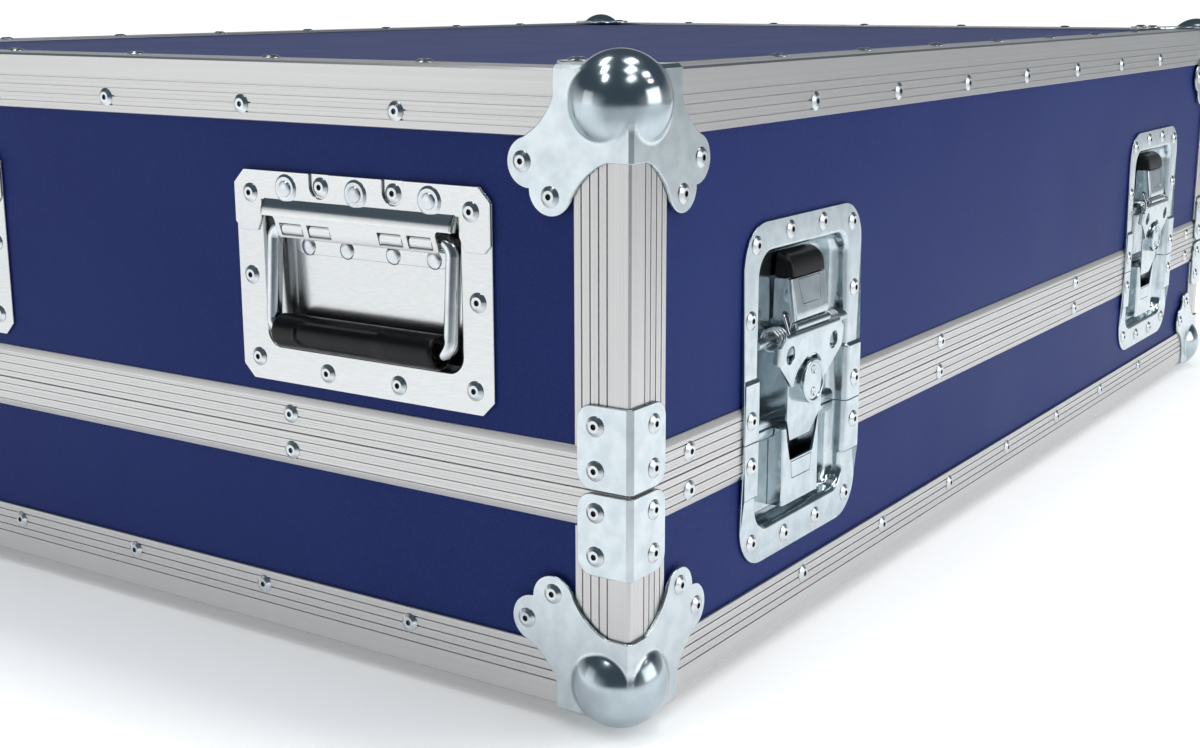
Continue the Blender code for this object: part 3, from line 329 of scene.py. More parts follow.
def hexGrid(low, high, step):
    # rows 0.87 of a step apart, every other one shifted by half a step
    spots = []
    rows = int((high[1] - low[1]) / (step * 0.87)) + 1
    for r in range(rows):
        shift = 0.5 * step if r % 2 else 0.0
        for c in range(int((high[0] - low[0]) / step) + 1):
            spots.append((low[0] + shift + c * step, low[1] + r * step * 0.87))
    return spots


def smoothStep(low, high, value):
    share = min(max((value - low) / (high - low), 0.0), 1.0)
    return share * share * (3 - 2 * share)


def onWall(u, v, t):
    # along the wall, up, and into the case
    return (u, t, v)


def across(u, v, t):
    # a section of (height, depth) spread along the wall
    return (t, v, u)


def shareNear(marks):
    # gives the share of the outline point (u, v, share) that lies at a place, or none
    marks = np.array(marks)

    def share(u, v):
        away = (marks[:, 0] - u) ** 2 + (marks[:, 1] - v) ** 2
        near = int(np.argmin(away))
        return marks[near, 2] if away[near] < 4e-4 else 0.0
    return share


def foldedPlate(half, fold, front, curl=None):
    # place(u, v, depth) for a plate bent back at both sides; curl turns its upper edge in
    flat = half - fold
    run = fold * pi / 2

    def place(u, v, t):
        out = abs(u) - flat
        sign = 1 if u > 0 else -1
        lift = curl(v) if curl else 0.0
        if out <= 0:
            return (u, front(v) + t + lift, v)
        if out < run:
            angle = out / fold
            return (sign * (flat + (fold - t) * sin(angle)),
                    front(v) + fold - (fold - t) * cos(angle)
                    + lift * cos(angle) ** 2, v)
        return (sign * (half - t), front(v) + fold + out - run, v)
    return place


def curlFrom(depth, start, run):
    # the edge beyond start turns in, to this depth after the run
    return lambda v: depth * max(0.0, (v - start) / run) ** 2


def foldLines(flat, run, steps, low, high):
    # creases along the folds at both sides
    return [[(sign * (flat + run * k / steps), v) for v in (low, high)]
            for sign in (-1, 1) for k in range(steps + 1)]


# Finishes

def toLinear(code):
    parts = [int(code[i:i + 2], 16) / 255 for i in (1, 3, 5)]
    return (*[p / 12.92 if p <= 0.04045 else ((p + 0.055) / 1.055) ** 2.4 for p in parts], 1.0)


def addNode(tree, kind, values=None, **settings):
    node = tree.nodes.new(kind)
    for key, value in settings.items():
        setattr(node, key, value)
    for key, value in (values or {}).items():
        socket = node.inputs[key]
        if isinstance(value, bpy.types.NodeSocket):
            tree.links.new(value, socket)
        else:
            socket.default_value = value
    return node


def newFinish(name, metallic=0.0):
    material = bpy.data.materials.new(name)
    material.use_nodes = True
    tree = material.node_tree
    shader = tree.nodes["Principled BSDF"]
    shader.inputs["Metallic"].default_value = metallic
    place = addNode(tree, "ShaderNodeTexCoord").outputs["Object"]
    return material, tree, shader, place


def maths(tree, operation, *values):
    return addNode(tree, "ShaderNodeMath", dict(enumerate(values)),
                   operation=operation).outputs[0]


def vectorMath(tree, operation, *values):
    node = addNode(tree, "ShaderNodeVectorMath", dict(enumerate(values)), operation=operation)
    return node.outputs["Value" if operation in ("LENGTH", "DOT_PRODUCT") else "Vector"]


def product(tree, one, other):
    return maths(tree, "MULTIPLY", one, other)


def noise(tree, place, size, detail=3.0, stretch=(1.0, 1.0, 1.0)):
    # size is the width of one patch in millimetres
    scale = tuple(1000.0 / size / s for s in stretch)
    fitted = addNode(tree, "ShaderNodeMapping", {"Vector": place, "Scale": scale})
    return addNode(tree, "ShaderNodeTexNoise",
                   {"Vector": fitted.outputs[0], "Scale": 1.0, "Detail": detail}).outputs["Fac"]


def spread(tree, value, low, high, start=0.35, end=0.65):
    # from start to end the value runs from low to high
    return addNode(tree, "ShaderNodeMapRange", {"Value": value, "From Min": start, "From Max": end,
                                                "To Min": low, "To Max": high}).outputs[0]


def blendOf(tree, share, first, second):
    # a colour is a hex code, a linear colour or a socket; 6 and 7 are the mix's two colours
    one, other = [toLinear(c) if isinstance(c, str) else c for c in (first, second)]
    return addNode(tree, "ShaderNodeMix", {"Factor": share, 6: one, 7: other},
                   data_type="RGBA").outputs[2]


def addColour(tree, shader, share, first, second):
    tree.links.new(blendOf(tree, share, first, second), shader.inputs["Base Color"])


def addDullness(tree, shader, value, limits):
    # limits are the roughness of the glossiest and of the dullest places
    tree.links.new(spread(tree, value, *limits), shader.inputs["Roughness"])


def addBump(tree, shader, height, relief):
    # relief is its height in millimetres
    bump = addNode(tree, "ShaderNodeBump", {"Height": height, "Strength": 1.0,
                                            "Distance": 0.001 * relief})
    tree.links.new(bump.outputs[0], shader.inputs["Normal"])


laminateLook = {"colour": "#25326a", "patch": "#28366f", "patchSize": 140.0, "fleck": "#2f3d79",
                "grain": 1.1, "relief": 0.01, "dull": (0.42, 0.45), "dullSize": 60.0,
                "sheen": 0.05}


def blueLaminate():
    # Phenolic laminate pressed on plywood: one even colour, a dull shine and a fine pressed
    # grain. The real grain is about 0.3 mm, too fine to show, and is drawn coarser.
    look = laminateLook
    material, tree, shader, place = newFinish("phenolicLaminate")
    cloud = spread(tree, noise(tree, place, look["patchSize"]), 0.0, 1.0)
    base = blendOf(tree, cloud, look["colour"], look["patch"])
    grain = noise(tree, place, look["grain"], 2.0)
    addColour(tree, shader, spread(tree, grain, 0.0, 0.55, 0.45, 0.7), base, look["fleck"])
    addDullness(tree, shader, noise(tree, place, look["dullSize"]), look["dull"])
    shader.inputs["Specular IOR Level"].default_value = look["sheen"]
    addBump(tree, shader, grain, look["relief"])
    return material


aluminiumLook = {"colour": "#c9c8c7", "streak": "#c3c2c1", "lineWidth": 0.7,
                 "lineLength": 1400.0, "dull": (0.32, 0.37), "relief": 0.0012}


def anodisedAluminium(name, along):
    # Extruded aluminium, satin anodised: a soft shine with fine drawing lines along the section.
    # The real lines are about 0.1 mm, too fine to show, and are drawn coarser.
    look = aluminiumLook
    material, tree, shader, place = newFinish(name, 1.0)
    stretch = [1.0, 1.0, 1.0]
    stretch[along] = look["lineLength"] / look["lineWidth"]
    lines = noise(tree, place, look["lineWidth"], 2.0, stretch)
    addColour(tree, shader, spread(tree, lines, 0.0, 1.0), look["colour"], look["streak"])
    addDullness(tree, shader, lines, look["dull"])
    addBump(tree, shader, lines, look["relief"])
    return material


zincLook = {"patchSize": 9.0, "dullSize": 12.0, "dentSize": 2.2, "relief": 0.0012}


def zincPlate(name, colour, patch, dull):
    # Cold-pressed mild steel with bright zinc plating: the bath leaves soft cloudy patches, and
    # the rolled sheet under it makes the reflections slightly uneven.
    look = zincLook
    material, tree, shader, place = newFinish(name, 1.0)
    cloud = noise(tree, place, look["patchSize"], 6.0)
    addColour(tree, shader, spread(tree, cloud, 0.0, 1.0, 0.40, 0.62), colour, patch)
    addDullness(tree, shader, noise(tree, place, look["dullSize"], 2.0), dull)
    addBump(tree, shader, noise(tree, place, look["dentSize"], 2.0), look["relief"])
    return material


plainGrain = 0.8


def plainMetal(name, colour, patch, dull, size=9.0, relief=0.001):
    # Steel smoothed by its die and then plated: a clean skin whose shine varies in soft patches.
    # The relief's real grain is about 0.1 mm, too fine to show, and is drawn coarser.
    material, tree, shader, place = newFinish(name, 1.0)
    cloud = noise(tree, place, size, 4.0)
    addColour(tree, shader, spread(tree, cloud, 0.0, 1.0), colour, patch)
    addDullness(tree, shader, cloud, dull)
    addBump(tree, shader, noise(tree, place, plainGrain, 2.0), relief)
    return material


brushedLook = {"colour": "#cfd1d1", "streak": "#cacccc", "lineWidth": 0.5, "lineLength": 5.0,
               "dull": (0.17, 0.21), "relief": 0.00004}


def brushedSteel():
    # Cold-rolled strip brushed with a belt and plated: short straight scratches that soften the
    # shine one way. Real scratches are about 0.05 mm, too fine to show, and are drawn coarser.
    look = brushedLook
    material, tree, shader, place = newFinish("brushedSteel", 1.0)
    ratio = look["lineLength"] / look["lineWidth"]
    lines = noise(tree, place, look["lineWidth"], 2.0, (1.0, ratio, 1.0))
    addColour(tree, shader, spread(tree, lines, 0.0, 1.0), look["colour"], look["streak"])
    addDullness(tree, shader, lines, look["dull"])
    addBump(tree, shader, lines, look["relief"])
    return material


plasticLook = {"colour": "#060608", "patch": "#0a0a0c", "patchSize": 8.0, "dull": (0.28, 0.38),
               "dullSize": 3.0, "gloss": 0.24, "grain": 0.45, "relief": 0.02}


def mouldedPlastic():
    # Injection-moulded black nylon from a spark-eroded tool: a low sheen on a fine even grain.
    # The real grain is about 0.1 mm, too fine to show, and is drawn coarser.
    look = plasticLook
    material, tree, shader, place = newFinish("mouldedBlackPlastic")
    cloud = noise(tree, place, look["patchSize"])
    addColour(tree, shader, spread(tree, cloud, 0.0, 1.0), look["colour"], look["patch"])
    addDullness(tree, shader, noise(tree, place, look["dullSize"]), look["dull"])
    shader.inputs["Specular IOR Level"].default_value = look["gloss"]
    addBump(tree, shader, noise(tree, place, look["grain"], 2.0), look["relief"])
    return material


def shadedBoreCore():
    # Snapped steel stem deep in a blind rivet's bore, coloured nearly black as painted shade of
    # the deep hole: dull, with an uneven torn face
    material, tree, shader, place = newFinish("rivetBoreShade", 0.3)
    addColour(tree, shader, noise(tree, place, 1.0), "#050608", "#101215")
    shader.inputs["Roughness"].default_value = 0.55
    return material


foamLook = {"colour": "#232326", "cell": "#313135", "cellSize": 1.3, "cloudSize": 30.0,
            "dull": 0.92, "relief": 0.25}


def closedCellFoam():
    # Cross-linked polyethylene foam sawn from a block: matt, with cut cells as small dark pits.
    # Real cells are about 0.4 mm, too fine to show, and are drawn coarser.
    look = foamLook
    material, tree, shader, place = newFinish("closedCellFoam")
    cells = addNode(tree, "ShaderNodeTexVoronoi",
                    {"Vector": place, "Scale": 1000.0 / look["cellSize"]}).outputs["Distance"]
    both = product(tree, cells, noise(tree, place, look["cloudSize"]))
    addColour(tree, shader, spread(tree, both, 0.0, 1.0, 0.0, 0.4), look["colour"], look["cell"])
    shader.inputs["Roughness"].default_value = look["dull"]
    addBump(tree, shader, cells, look["relief"])
    return material


finish = {
    "laminate": blueLaminate(),
    "alongX": anodisedAluminium("anodisedAluminiumLong", 0),
    "alongY": anodisedAluminium("anodisedAluminiumShort", 1),
    "alongZ": anodisedAluminium("anodisedAluminiumPost", 2),
    # the corners' plates, and the deeper drawn and so glossier latches, whose zinc is coloured
    # slightly darker as painted shade
    "zinc": zincPlate("zincPlatedSteel", "#cad3d6", "#bec8cc", (0.19, 0.27)),
    "panZinc": zincPlate("brightZincPan", "#c2ccd0", "#b4bfc4", (0.13, 0.2)),
    # the deep-drawn dome is stretched over a polished punch
    "ball": plainMetal("polishedZinc", "#b8c3c8", "#aab6bc", (0.13, 0.22), 14.0),
    # cold-drawn round wire and rod
    "bright": plainMetal("brightSteelWire", "#d4d8da", "#c8cdd0", (0.12, 0.2)),
    # cold-headed rivets, plated in a barrel
    "rivet": plainMetal("nickelledRivet", "#ccd1d3", "#c3c9cc", (0.16, 0.24), 12.0, 0.0003),
    # the pulled stem's end, bare and rough
    "mandrel": plainMetal("steelMandrel", "#5c646b", "#4b5258", (0.4, 0.5), 1.5),
    "brushed": brushedSteel(),
    # the blind rivets' core, nearly black: painted shade of their deep bore
    "core": shadedBoreCore(),
    "plastic": mouldedPlastic(),
    "foam": closedCellFoam(),
}
print("finishes:", len(finish))

for name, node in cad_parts.items():
    if name.endswith("_panel"):
        node.data.materials.clear()
        node.data.materials.append(finish["laminate"])


# Rivets are listed while the pieces are made, then set by one Geometry Nodes tree

rivetSpots = {}


def setRivet(body, kind, spot, facing):
    rivetSpots.setdefault((body, kind), []).append((Vector(spot), Vector(facing)))


# Edge extrusions

edgeLook = {
    "width": 30.0, "wall": 1.5,
    "nose": 1.1,           # flat chamfer along the outer edge
    "grooves": (25.8, 21.2, 16.6, 12.1),  # from the outer edge
    "groove": (0.38, 0.8),  # half width and depth
    "hairlines": (27.9, 23.5, 18.9, 14.3), "hairline": (0.16, 0.05),
    "brim": 0.35,          # small chamfer beside the panel
    "lipReach": 24.0, "slotBack": 11.6, "lipBack": 13.2, "web": 2.5,
    "cornerTrim": 7.0,     # cut off each corner, inside the ball
    "postOverlap": 1.0, "rivetInset": 22.0,
    "rivetsLong": (103.0, 3),  # pitch, and how many on each side of the middle
    "rivetsShort": (101.2, 2),
}
grooveFlat = 0.75          # of a groove's width


def grooveLine(start, end, marks):
    # points (depth, along) from start to end, with a groove at each (place, half, depth)
    sign = 1 if end > start else -1
    points = [(0.0, start)]
    for place, half, depth in sorted(marks, key=lambda m: sign * m[0]):
        points += [(0.0, place - sign * half), (depth, place - sign * half * grooveFlat),
                   (depth, place + sign * half * grooveFlat), (0.0, place + sign * half)]
    return points + [(0.0, end)]


def edgeSection():
    look = edgeLook
    width, wall, nose, brim = look["width"], look["wall"], look["nose"], look["brim"]
    marks = [(g, *look["groove"]) for g in look["grooves"]]
    marks += [(g, *look["hairline"]) for g in look["hairlines"]]
    down = grooveLine(width - brim, nose, marks)
    over = [(along, depth) for depth, along in grooveLine(nose, width - brim, marks)]
    slot, back, lip = look["slotBack"], look["lipBack"], look["lipReach"]
    web = look["web"] / sqrt(2)
    inner = [(width, brim), (width, wall), (wall + web, wall), (slot + web, slot), (lip, slot),
             (lip, back), (back, back), (back, lip), (slot, lip), (slot, slot + web),
             (wall, wall + web), (wall, width)]
    return [(brim, width)] + down + over + inner


def addEdges(half):
    look = edgeLook
    section = edgeSection()
    isLid = half == "lid"
    face = caseSize["top"] if isLid else caseSize["underside"]
    sign = -1 if isLid else 1
    trim = look["cornerTrim"]

    def reach(limit, inward, down):
        return limit - (max(inward, trim) if down < trim else inward)

    long = Shell()
    short = Shell()
    for side in (-1, 1):
        skin(long, [[(end * reach(halfX, a, b), side * (halfY - a), face + sign * b)
                     for a, b in section] for end in (-1, 1)])
        skin(short, [[(side * (halfX - a), end * reach(halfY, a, b), face + sign * b)
                      for a, b in section] for end in (-1, 1)])
    edges = makePiece(f"{half}EdgesLong", long, ["alongX"], half)
    makePiece(f"{half}EdgesShort", short, ["alongY"], half)
    gap = caseSize["gap"]
    if isLid:
        low = caseSize["parting"] + rimLook["lidHeight"] + gap
        high = caseSize["top"] - look["width"] + look["postOverlap"]
    else:
        low = caseSize["underside"] + look["width"] - look["postOverlap"]
        high = caseSize["parting"] - rimLook["baseHeight"] - gap
    posts = Shell()
    for sideX in (-1, 1):
        for sideY in (-1, 1):
            skin(posts, [[(sideX * (halfX - a), sideY * (halfY - b), z) for a, b in section]
                         for z in (low, high)])
    makePiece(f"{half}Posts", posts, ["alongZ"], half)
    inset = look["rivetInset"]
    for side in (-1, 1):
        for limit, (pitch, count), lengthwise in ((halfY, look["rivetsLong"], True),
                                                  (halfX, look["rivetsShort"], False)):
            for k in range(-count, count + 1):
                for aside, z, facing in ((side * limit, face + sign * inset, (0, side, 0)),
                                         (side * (limit - inset), face, (0, 0, -sign))):
                    if lengthwise:
                        setRivet(half, "flush", (k * pitch, aside, z), facing)
                    else:
                        setRivet(half, "flush", (aside, k * pitch, z),
                                 (facing[1], facing[0], facing[2]))
    return edges


# Closing rims, with the tongue on the base and its groove on the lid

rimLook = {
    "lidHeight": 19.5, "baseHeight": 17.9,
    "solid": 8.5,          # from the parting line to the panel's slot
    "grooves": (4.0, 8.8, 13.6),
    "groove": (0.36, 0.7),  # half width and depth
    "hairlines": (2.2, 6.0, 7.1, 10.6, 11.8, 14.9), "hairline": (0.17, 0.09),
    "brim": (0.35, 0.3),   # small chamfer at the parting line
    "bevelRise": 3.2,      # sloping band beside the panel
    "bevelDepth": 1.1,
    "tongue": (4.9, 3.0, 6.0),  # inset, width, height
    "tongueGap": 0.5, "tongueTaper": (0.2, 0.9), "rivetsLong": (-431.0, -127.8, 128.0, 431.0),
    "rivetsShort": (-126.2, 126.2), "rivetRise": 9.6,
    "latchCut": 51.4,      # half of the gap that the rim leaves for a latch
}


def rimSection(isLid):
    look = rimLook
    height = look["lidHeight"] if isLid else look["baseHeight"]
    bevel = height - look["bevelRise"]
    marks = [(g, *look["groove"]) for g in look["grooves"]]
    marks += [(g, *look["hairline"]) for g in look["hairlines"] if g < bevel - 0.2]
    joint = caseSize["gap"] / 2
    wall, slot, back = edgeLook["wall"], edgeLook["slotBack"], edgeLook["lipBack"]
    brim, chamfer = look["brim"]
    points = [(brim, joint)] + grooveLine(joint + chamfer, bevel, marks)
    points += [(look["bevelDepth"], height - chamfer), (wall, height), (wall, look["solid"]),
               (slot, look["solid"]), (slot, height), (back, height), (back, joint)]
    inset, width, rise = look["tongue"]
    free = look["tongueGap"]
    lean, nose = look["tongueTaper"]
    if isLid:
        points += [(inset + width + free, joint), (inset + width + free, rise + free),
                   (inset - free, rise + free), (inset - free, joint)]
    else:
        points += [(inset + width, joint), (inset + width - lean, -rise + nose),
                   (inset + width - nose, -rise), (inset + nose, -rise),
                   (inset + lean, -rise + nose), (inset, joint)]
    return points


def addRims(half):
    isLid = half == "lid"
    sign = 1 if isLid else -1
    parting = caseSize["parting"]
    section = rimSection(isLid)
    long = Shell()
    short = Shell()
    cut = rimLook["latchCut"]
    latchX = latchLook["spacing"] / 2
    # an end at None is a mitre at the case's corner
    runs = [(None, -latchX - cut), (-latchX + cut, latchX - cut), (latchX + cut, None)]
    for side in (-1, 1):
        for run in runs:
            skin(long, [[(end * (halfX - a) if x is None else x, side * (halfY - a),
                          parting + sign * b) for a, b in section]
                        for end, x in zip((-1, 1), run)])
        skin(short, [[(side * (halfX - a), end * (halfY - a), parting + sign * b)
                      for a, b in section] for end in (-1, 1)])
    rim = makePiece(f"{half}RimLong", long, ["alongX"], half)
    makePiece(f"{half}RimShort", short, ["alongY"], half)
    z = parting + sign * rimLook["rivetRise"]
    for side in (-1, 1):
        for x in rimLook["rivetsLong"]:
            setRivet(half, "flush", (x, side * halfY, z), (0, side, 0))
        for y in rimLook["rivetsShort"]:
            setRivet(half, "flush", (side * halfX, y, z), (side, 0, 0))
    return rim


# Brace plates, folded round the corners of the rims

braceLook = {
    "sheet": 1.5, "reach": 27.7,
    "rise": 40.5,          # of the lid's plate above the parting line
    "drop": 40.2, "gap": 0.8, "corner": 8.0,
    "fold": 2.6,           # its flat takes the place of a bend of this radius
    "edge": 0.45, "rivetIn": 17.6, "rivetRows": (9.9, 30.7),
}


def addBraces(half):
    look = braceLook
    isLid = half == "lid"
    sign = 1 if isLid else -1
    fold = look["fold"]
    outside = -(caseSize["gap"] + look["sheet"])
    centre = outside + fold
    bendHalf = fold * pi / 4
    reach = look["reach"] - centre + bendHalf
    high = look["rise"] if isLid else look["drop"]
    low, curve, edge = look["gap"], look["corner"], look["edge"]
    corners = roundCorners([(reach, low), (reach, high), (bendHalf, high), (-bendHalf, high),
                            (-reach, high), (-reach, low), (-bendHalf, low), (bendHalf, low)],
                           [curve, curve, 0, 0, curve, curve, 0, 0], 8)
    chains = [[(c, low + edge), (c, high - edge)] for c in (-bendHalf, bendHalf)]

    def place(u, v, t):
        if abs(u) <= bendHalf:
            radius = (fold - t) * (u / bendHalf + 1) / 2
            return (outside + t + radius, centre - radius, v)
        if u > 0:
            return (centre + u - bendHalf, outside + t, v)
        return (outside + t, centre - u - bendHalf, v)

    plate = Shell()
    pressSheet(plate, corners, [], look["sheet"], edge, place, chains=chains)
    whole = Shell()
    for sideX in (-1, 1):
        for sideY in (-1, 1):
            whole.addShell(plate, atCorner(sideX, sideY, sign, caseSize["parting"]))
            for row in look["rivetRows"]:
                z = caseSize["parting"] + sign * row
                setRivet(half, "blind", (sideX * (halfX - look["rivetIn"]),
                                         sideY * (halfY - outside), z), (0, sideY, 0))
                setRivet(half, "blind", (sideX * (halfX - outside),
                                         sideY * (halfY - look["rivetIn"]), z), (sideX, 0, 0))
    return makePiece(f"{half}Braces", whole, ["zinc"], half)


# Ball corners: a pressed shell with a dome, folded edges and two lobes on each face

cornerLook = {
    "ball": 23.4,          # radius
    "inset": 14.6,         # of its centre
    "rise": caseSize["gap"] + 1.5,  # of the outer skin; the sheet is 1.5 thick
    "fold": 1.8,           # leg of the flat fold between two plates
    "blend": 1.2,          # fillet between the dome and the plates
    "tip": 18.5,           # from the ball's centre to the cut that keeps the plates' tip inside it
    "hollow": 8.5,         # the same cut on the inside, along each edge
    "reach": 39.7,         # of the free edge where it crosses the folds
    "shoulder": 11.0,      # where it leaves its straight part
    "flare": ((41.7, 16.2), (46.3, 22.5), (51.0, 26.8)),
    "lead": 5.0,           # before the shoulder, aims the flare
    "lobe": (53.2, 41.4),
    "lobeRadius": 11.7, "lobeStart": -76.0,
    "pathSteps": (5, 4, 26),  # on the straight part, from knot to knot of the flare, on the lobe
    "notchShift": 1.6,     # factor of an inset at the notch between the lobes
    "edge": 0.45,
    "rivets": ((56.7, 41.1), (41.4, 56.1)),
}
# where the corner's mesh has its points; steps are a count and a pitch
cornerNet = {
    "folds": 26,           # along each fold, closer together near the ball
    "foldEase": 1.15,
    "domeAngles": (3.2, 6.4, 9.6, 12.8, 16, 19.2, 22.4, 25.6, 28.8, 32, 35.2, 38, 40.5),
    "filletRings": (14.7, 15.3, 15.8, 16.2, 16.6, 17.0, 17.4, 17.8, 18.3, 19.0, 20.2, 22.5),
    "ringPitch": 1.4,
    "ringLimits": (10, 72),  # least and most points of a ring
    "foldRows": (0.3, 0.65, 1.5),  # shares of the fold's leg
    "foldStart": 17.0, "rowSteps": (16, 1.5), "creaseSteps": (15, 1.56),
    "grids": (((26, 4), (66, 66)), ((4, 26), (26, 66))),
    "gridPitch": 5.0,
    "gridClear": 24,       # from the ball's centre
    "rays": (5.0, 140.0, 44),  # shortest, longest, and how often halved
    "ballMargin": 0.25,    # faces within it belong to the dome
    "skin": 0.01,          # points nearer than this to the outer skin lie on it
    "pull": 0.05,          # normals are taken this share towards the middle of their face
    "probe": 0.002,
}


def cornerPath():
    # free edge of one face, from one fold to the other
    look = cornerLook
    rise = look["rise"]
    straight, perKnot, onLobe = look["pathSteps"]
    far, near = look["lobe"]
    radius = look["lobeRadius"]
    middle = (far + near) / 2
    halfGap = hypot(far - near, far - near) / 2
    notch = middle + sqrt(radius ** 2 - halfGap ** 2) / sqrt(2)
    end = degrees(atan2(notch - near, notch - far))
    start = look["lobeStart"]
    angles = [radians(start + (end - start) * k / onLobe) for k in range(onLobe + 1)]
    lobe = [(far + radius * cos(a), near + radius * sin(a)) for a in angles]
    knots = [(look["reach"], look["shoulder"])] + list(look["flare"]) + [lobe[0]]
    line = [(look["reach"], look["shoulder"] - look["lead"])] + knots + [lobe[1]]
    flare = []
    for i in range(1, len(line) - 2):
        p0, p1, p2, p3 = [Vector(p) for p in line[i - 1:i + 3]]
        for k in range(perKnot):
            t = k / perKnot
            point = 0.5 * (2 * p1 + (p2 - p0) * t + (2 * p0 - 5 * p1 + 4 * p2 - p3) * t * t
                           + (3 * p1 - p0 - 3 * p2 + p3) * t ** 3)
            flare.append((point.x, point.y))
    fold = look["fold"]
    shank = [(look["reach"], -rise + up) for up in (0, fold / 2)]
    shank += [(look["reach"], fold - rise + (look["shoulder"] + rise - fold) * k / straight)
              for k in range(straight)]
    half = shank + flare + lobe
    return half + [(v, u) for u, v in reversed(half)][1:]


def shiftPath(path, amount):
    # towards the inside of the face; the ends slide along the folds
    pts = np.array(path)
    run = np.gradient(pts, axis=0)
    run /= np.linalg.norm(run, axis=1)[:, None]
    moved = pts + amount * np.stack((-run[:, 1], run[:, 0]), 1)
    notch = len(path) // 2
    moved[notch] = pts[notch] - amount * cornerLook["notchShift"] / sqrt(2)
    moved[0] = (pts[0][0] - amount, pts[0][1])
    moved[-1] = (pts[-1][0], pts[-1][1] - amount)
    return [tuple(p) for p in moved]


def cornerField(p):
    # distance from the corner's outer skin: a chamfered block joined to the ball by a fillet
    look = cornerLook
    q = -look["rise"] - p
    pairs = (q + np.roll(q, 1, axis=1) + look["fold"]) / sqrt(2)
    tip = (look["inset"] - p).sum(1) / sqrt(3) - look["tip"]
    block = np.maximum(np.maximum(q.max(1), pairs.max(1)), tip)
    ball = np.linalg.norm(p - look["inset"], axis=1) - look["ball"]
    share = np.maximum(look["blend"] - np.abs(block - ball), 0) / look["blend"]
    return np.minimum(block, ball) - share * share * look["blend"] / 4


def setCornerNormals(piece, matrix):
    # exact normals on the skin keep the reflections clean
    net = cornerNet
    mesh = piece.data
    spots = np.empty(3 * len(mesh.vertices))
    mesh.vertices.foreach_get("co", spots)
    turn = np.array(matrix.to_3x3())
    local = (1000 * spots.reshape(-1, 3) - np.array(matrix.translation)) @ turn
    skinned = np.abs(cornerField(local)) < net["skin"]
    owners = np.repeat(np.arange(len(mesh.polygons)), [len(f.vertices) for f in mesh.polygons])
    ends = np.array([loop.vertex_index for loop in mesh.loops])
    middles = np.array([local[list(face.vertices)].mean(0) for face in mesh.polygons])
    place = (1 - net["pull"]) * local[ends] + net["pull"] * middles[owners]
    slope = np.stack([cornerField(place + step) - cornerField(place - step)
                      for step in net["probe"] * np.eye(3)], 1)
    slope /= np.maximum(np.linalg.norm(slope, axis=1), 1e-9)[:, None]
    whole = np.array([skinned[list(face.vertices)].all() for face in mesh.polygons])
    slope[~(skinned[ends] & whole[owners])] = 0.0
    mesh.normals_split_custom_set([tuple(n) for n in slope @ turn.T])


def onCorner(spots):
    # where rays from the ball's centre through spots of the outer plane leave the corner
    look = cornerLook
    rise = look["rise"]
    centre = np.array([look["inset"]] * 3)
    spots = np.array(spots, float)
    aim = np.column_stack((spots, np.full(len(spots), -rise))) - centre
    aim /= np.linalg.norm(aim, axis=1)[:, None]
    nearest, farthest, halvings = cornerNet["rays"]
    low = np.full(len(spots), nearest)
    high = np.full(len(spots), farthest)
    for _ in range(halvings):
        middle = (low + high) / 2
        field = cornerField(centre + aim * middle[:, None])
        low = np.where(field < 0, middle, low)
        high = np.where(field < 0, high, middle)
    return centre + aim * low[:, None]


def squareEnds(points):
    # the free edge runs straight across both folds
    points[:2, 0] = points[2, 0]
    points[-2:, 1] = points[-3, 1]
    return points


def cornerSpots(rise):
    # loose points over one face of the corner, and the creases along its two folds
    net = cornerNet
    middle, fold = cornerLook["inset"], cornerLook["fold"]
    spots = [(middle, middle)]
    rings = [(middle + rise) * tan(radians(a)) for a in net["domeAngles"]]
    least, most = net["ringLimits"]
    for radius in rings + list(net["filletRings"]):
        steps = max(least, min(most, int(2 * pi * radius / net["ringPitch"])))
        spots += ring((middle, middle), radius, steps)
    count, pitch = net["rowSteps"]
    for share in net["foldRows"]:
        u = -rise + fold * share
        for k in range(count):
            v = net["foldStart"] + k * pitch
            spots += [(u, v), (v, u)]
    for low, high in net["grids"]:
        spots += [(u, v) for u, v in hexGrid(low, high, net["gridPitch"])
                  if hypot(u - middle, v - middle) > net["gridClear"]]
    count, pitch = net["creaseSteps"]
    crease = [(fold - rise, net["foldStart"] + pitch * k) for k in range(count)]
    return spots, [crease, [(v, u) for u, v in crease]]


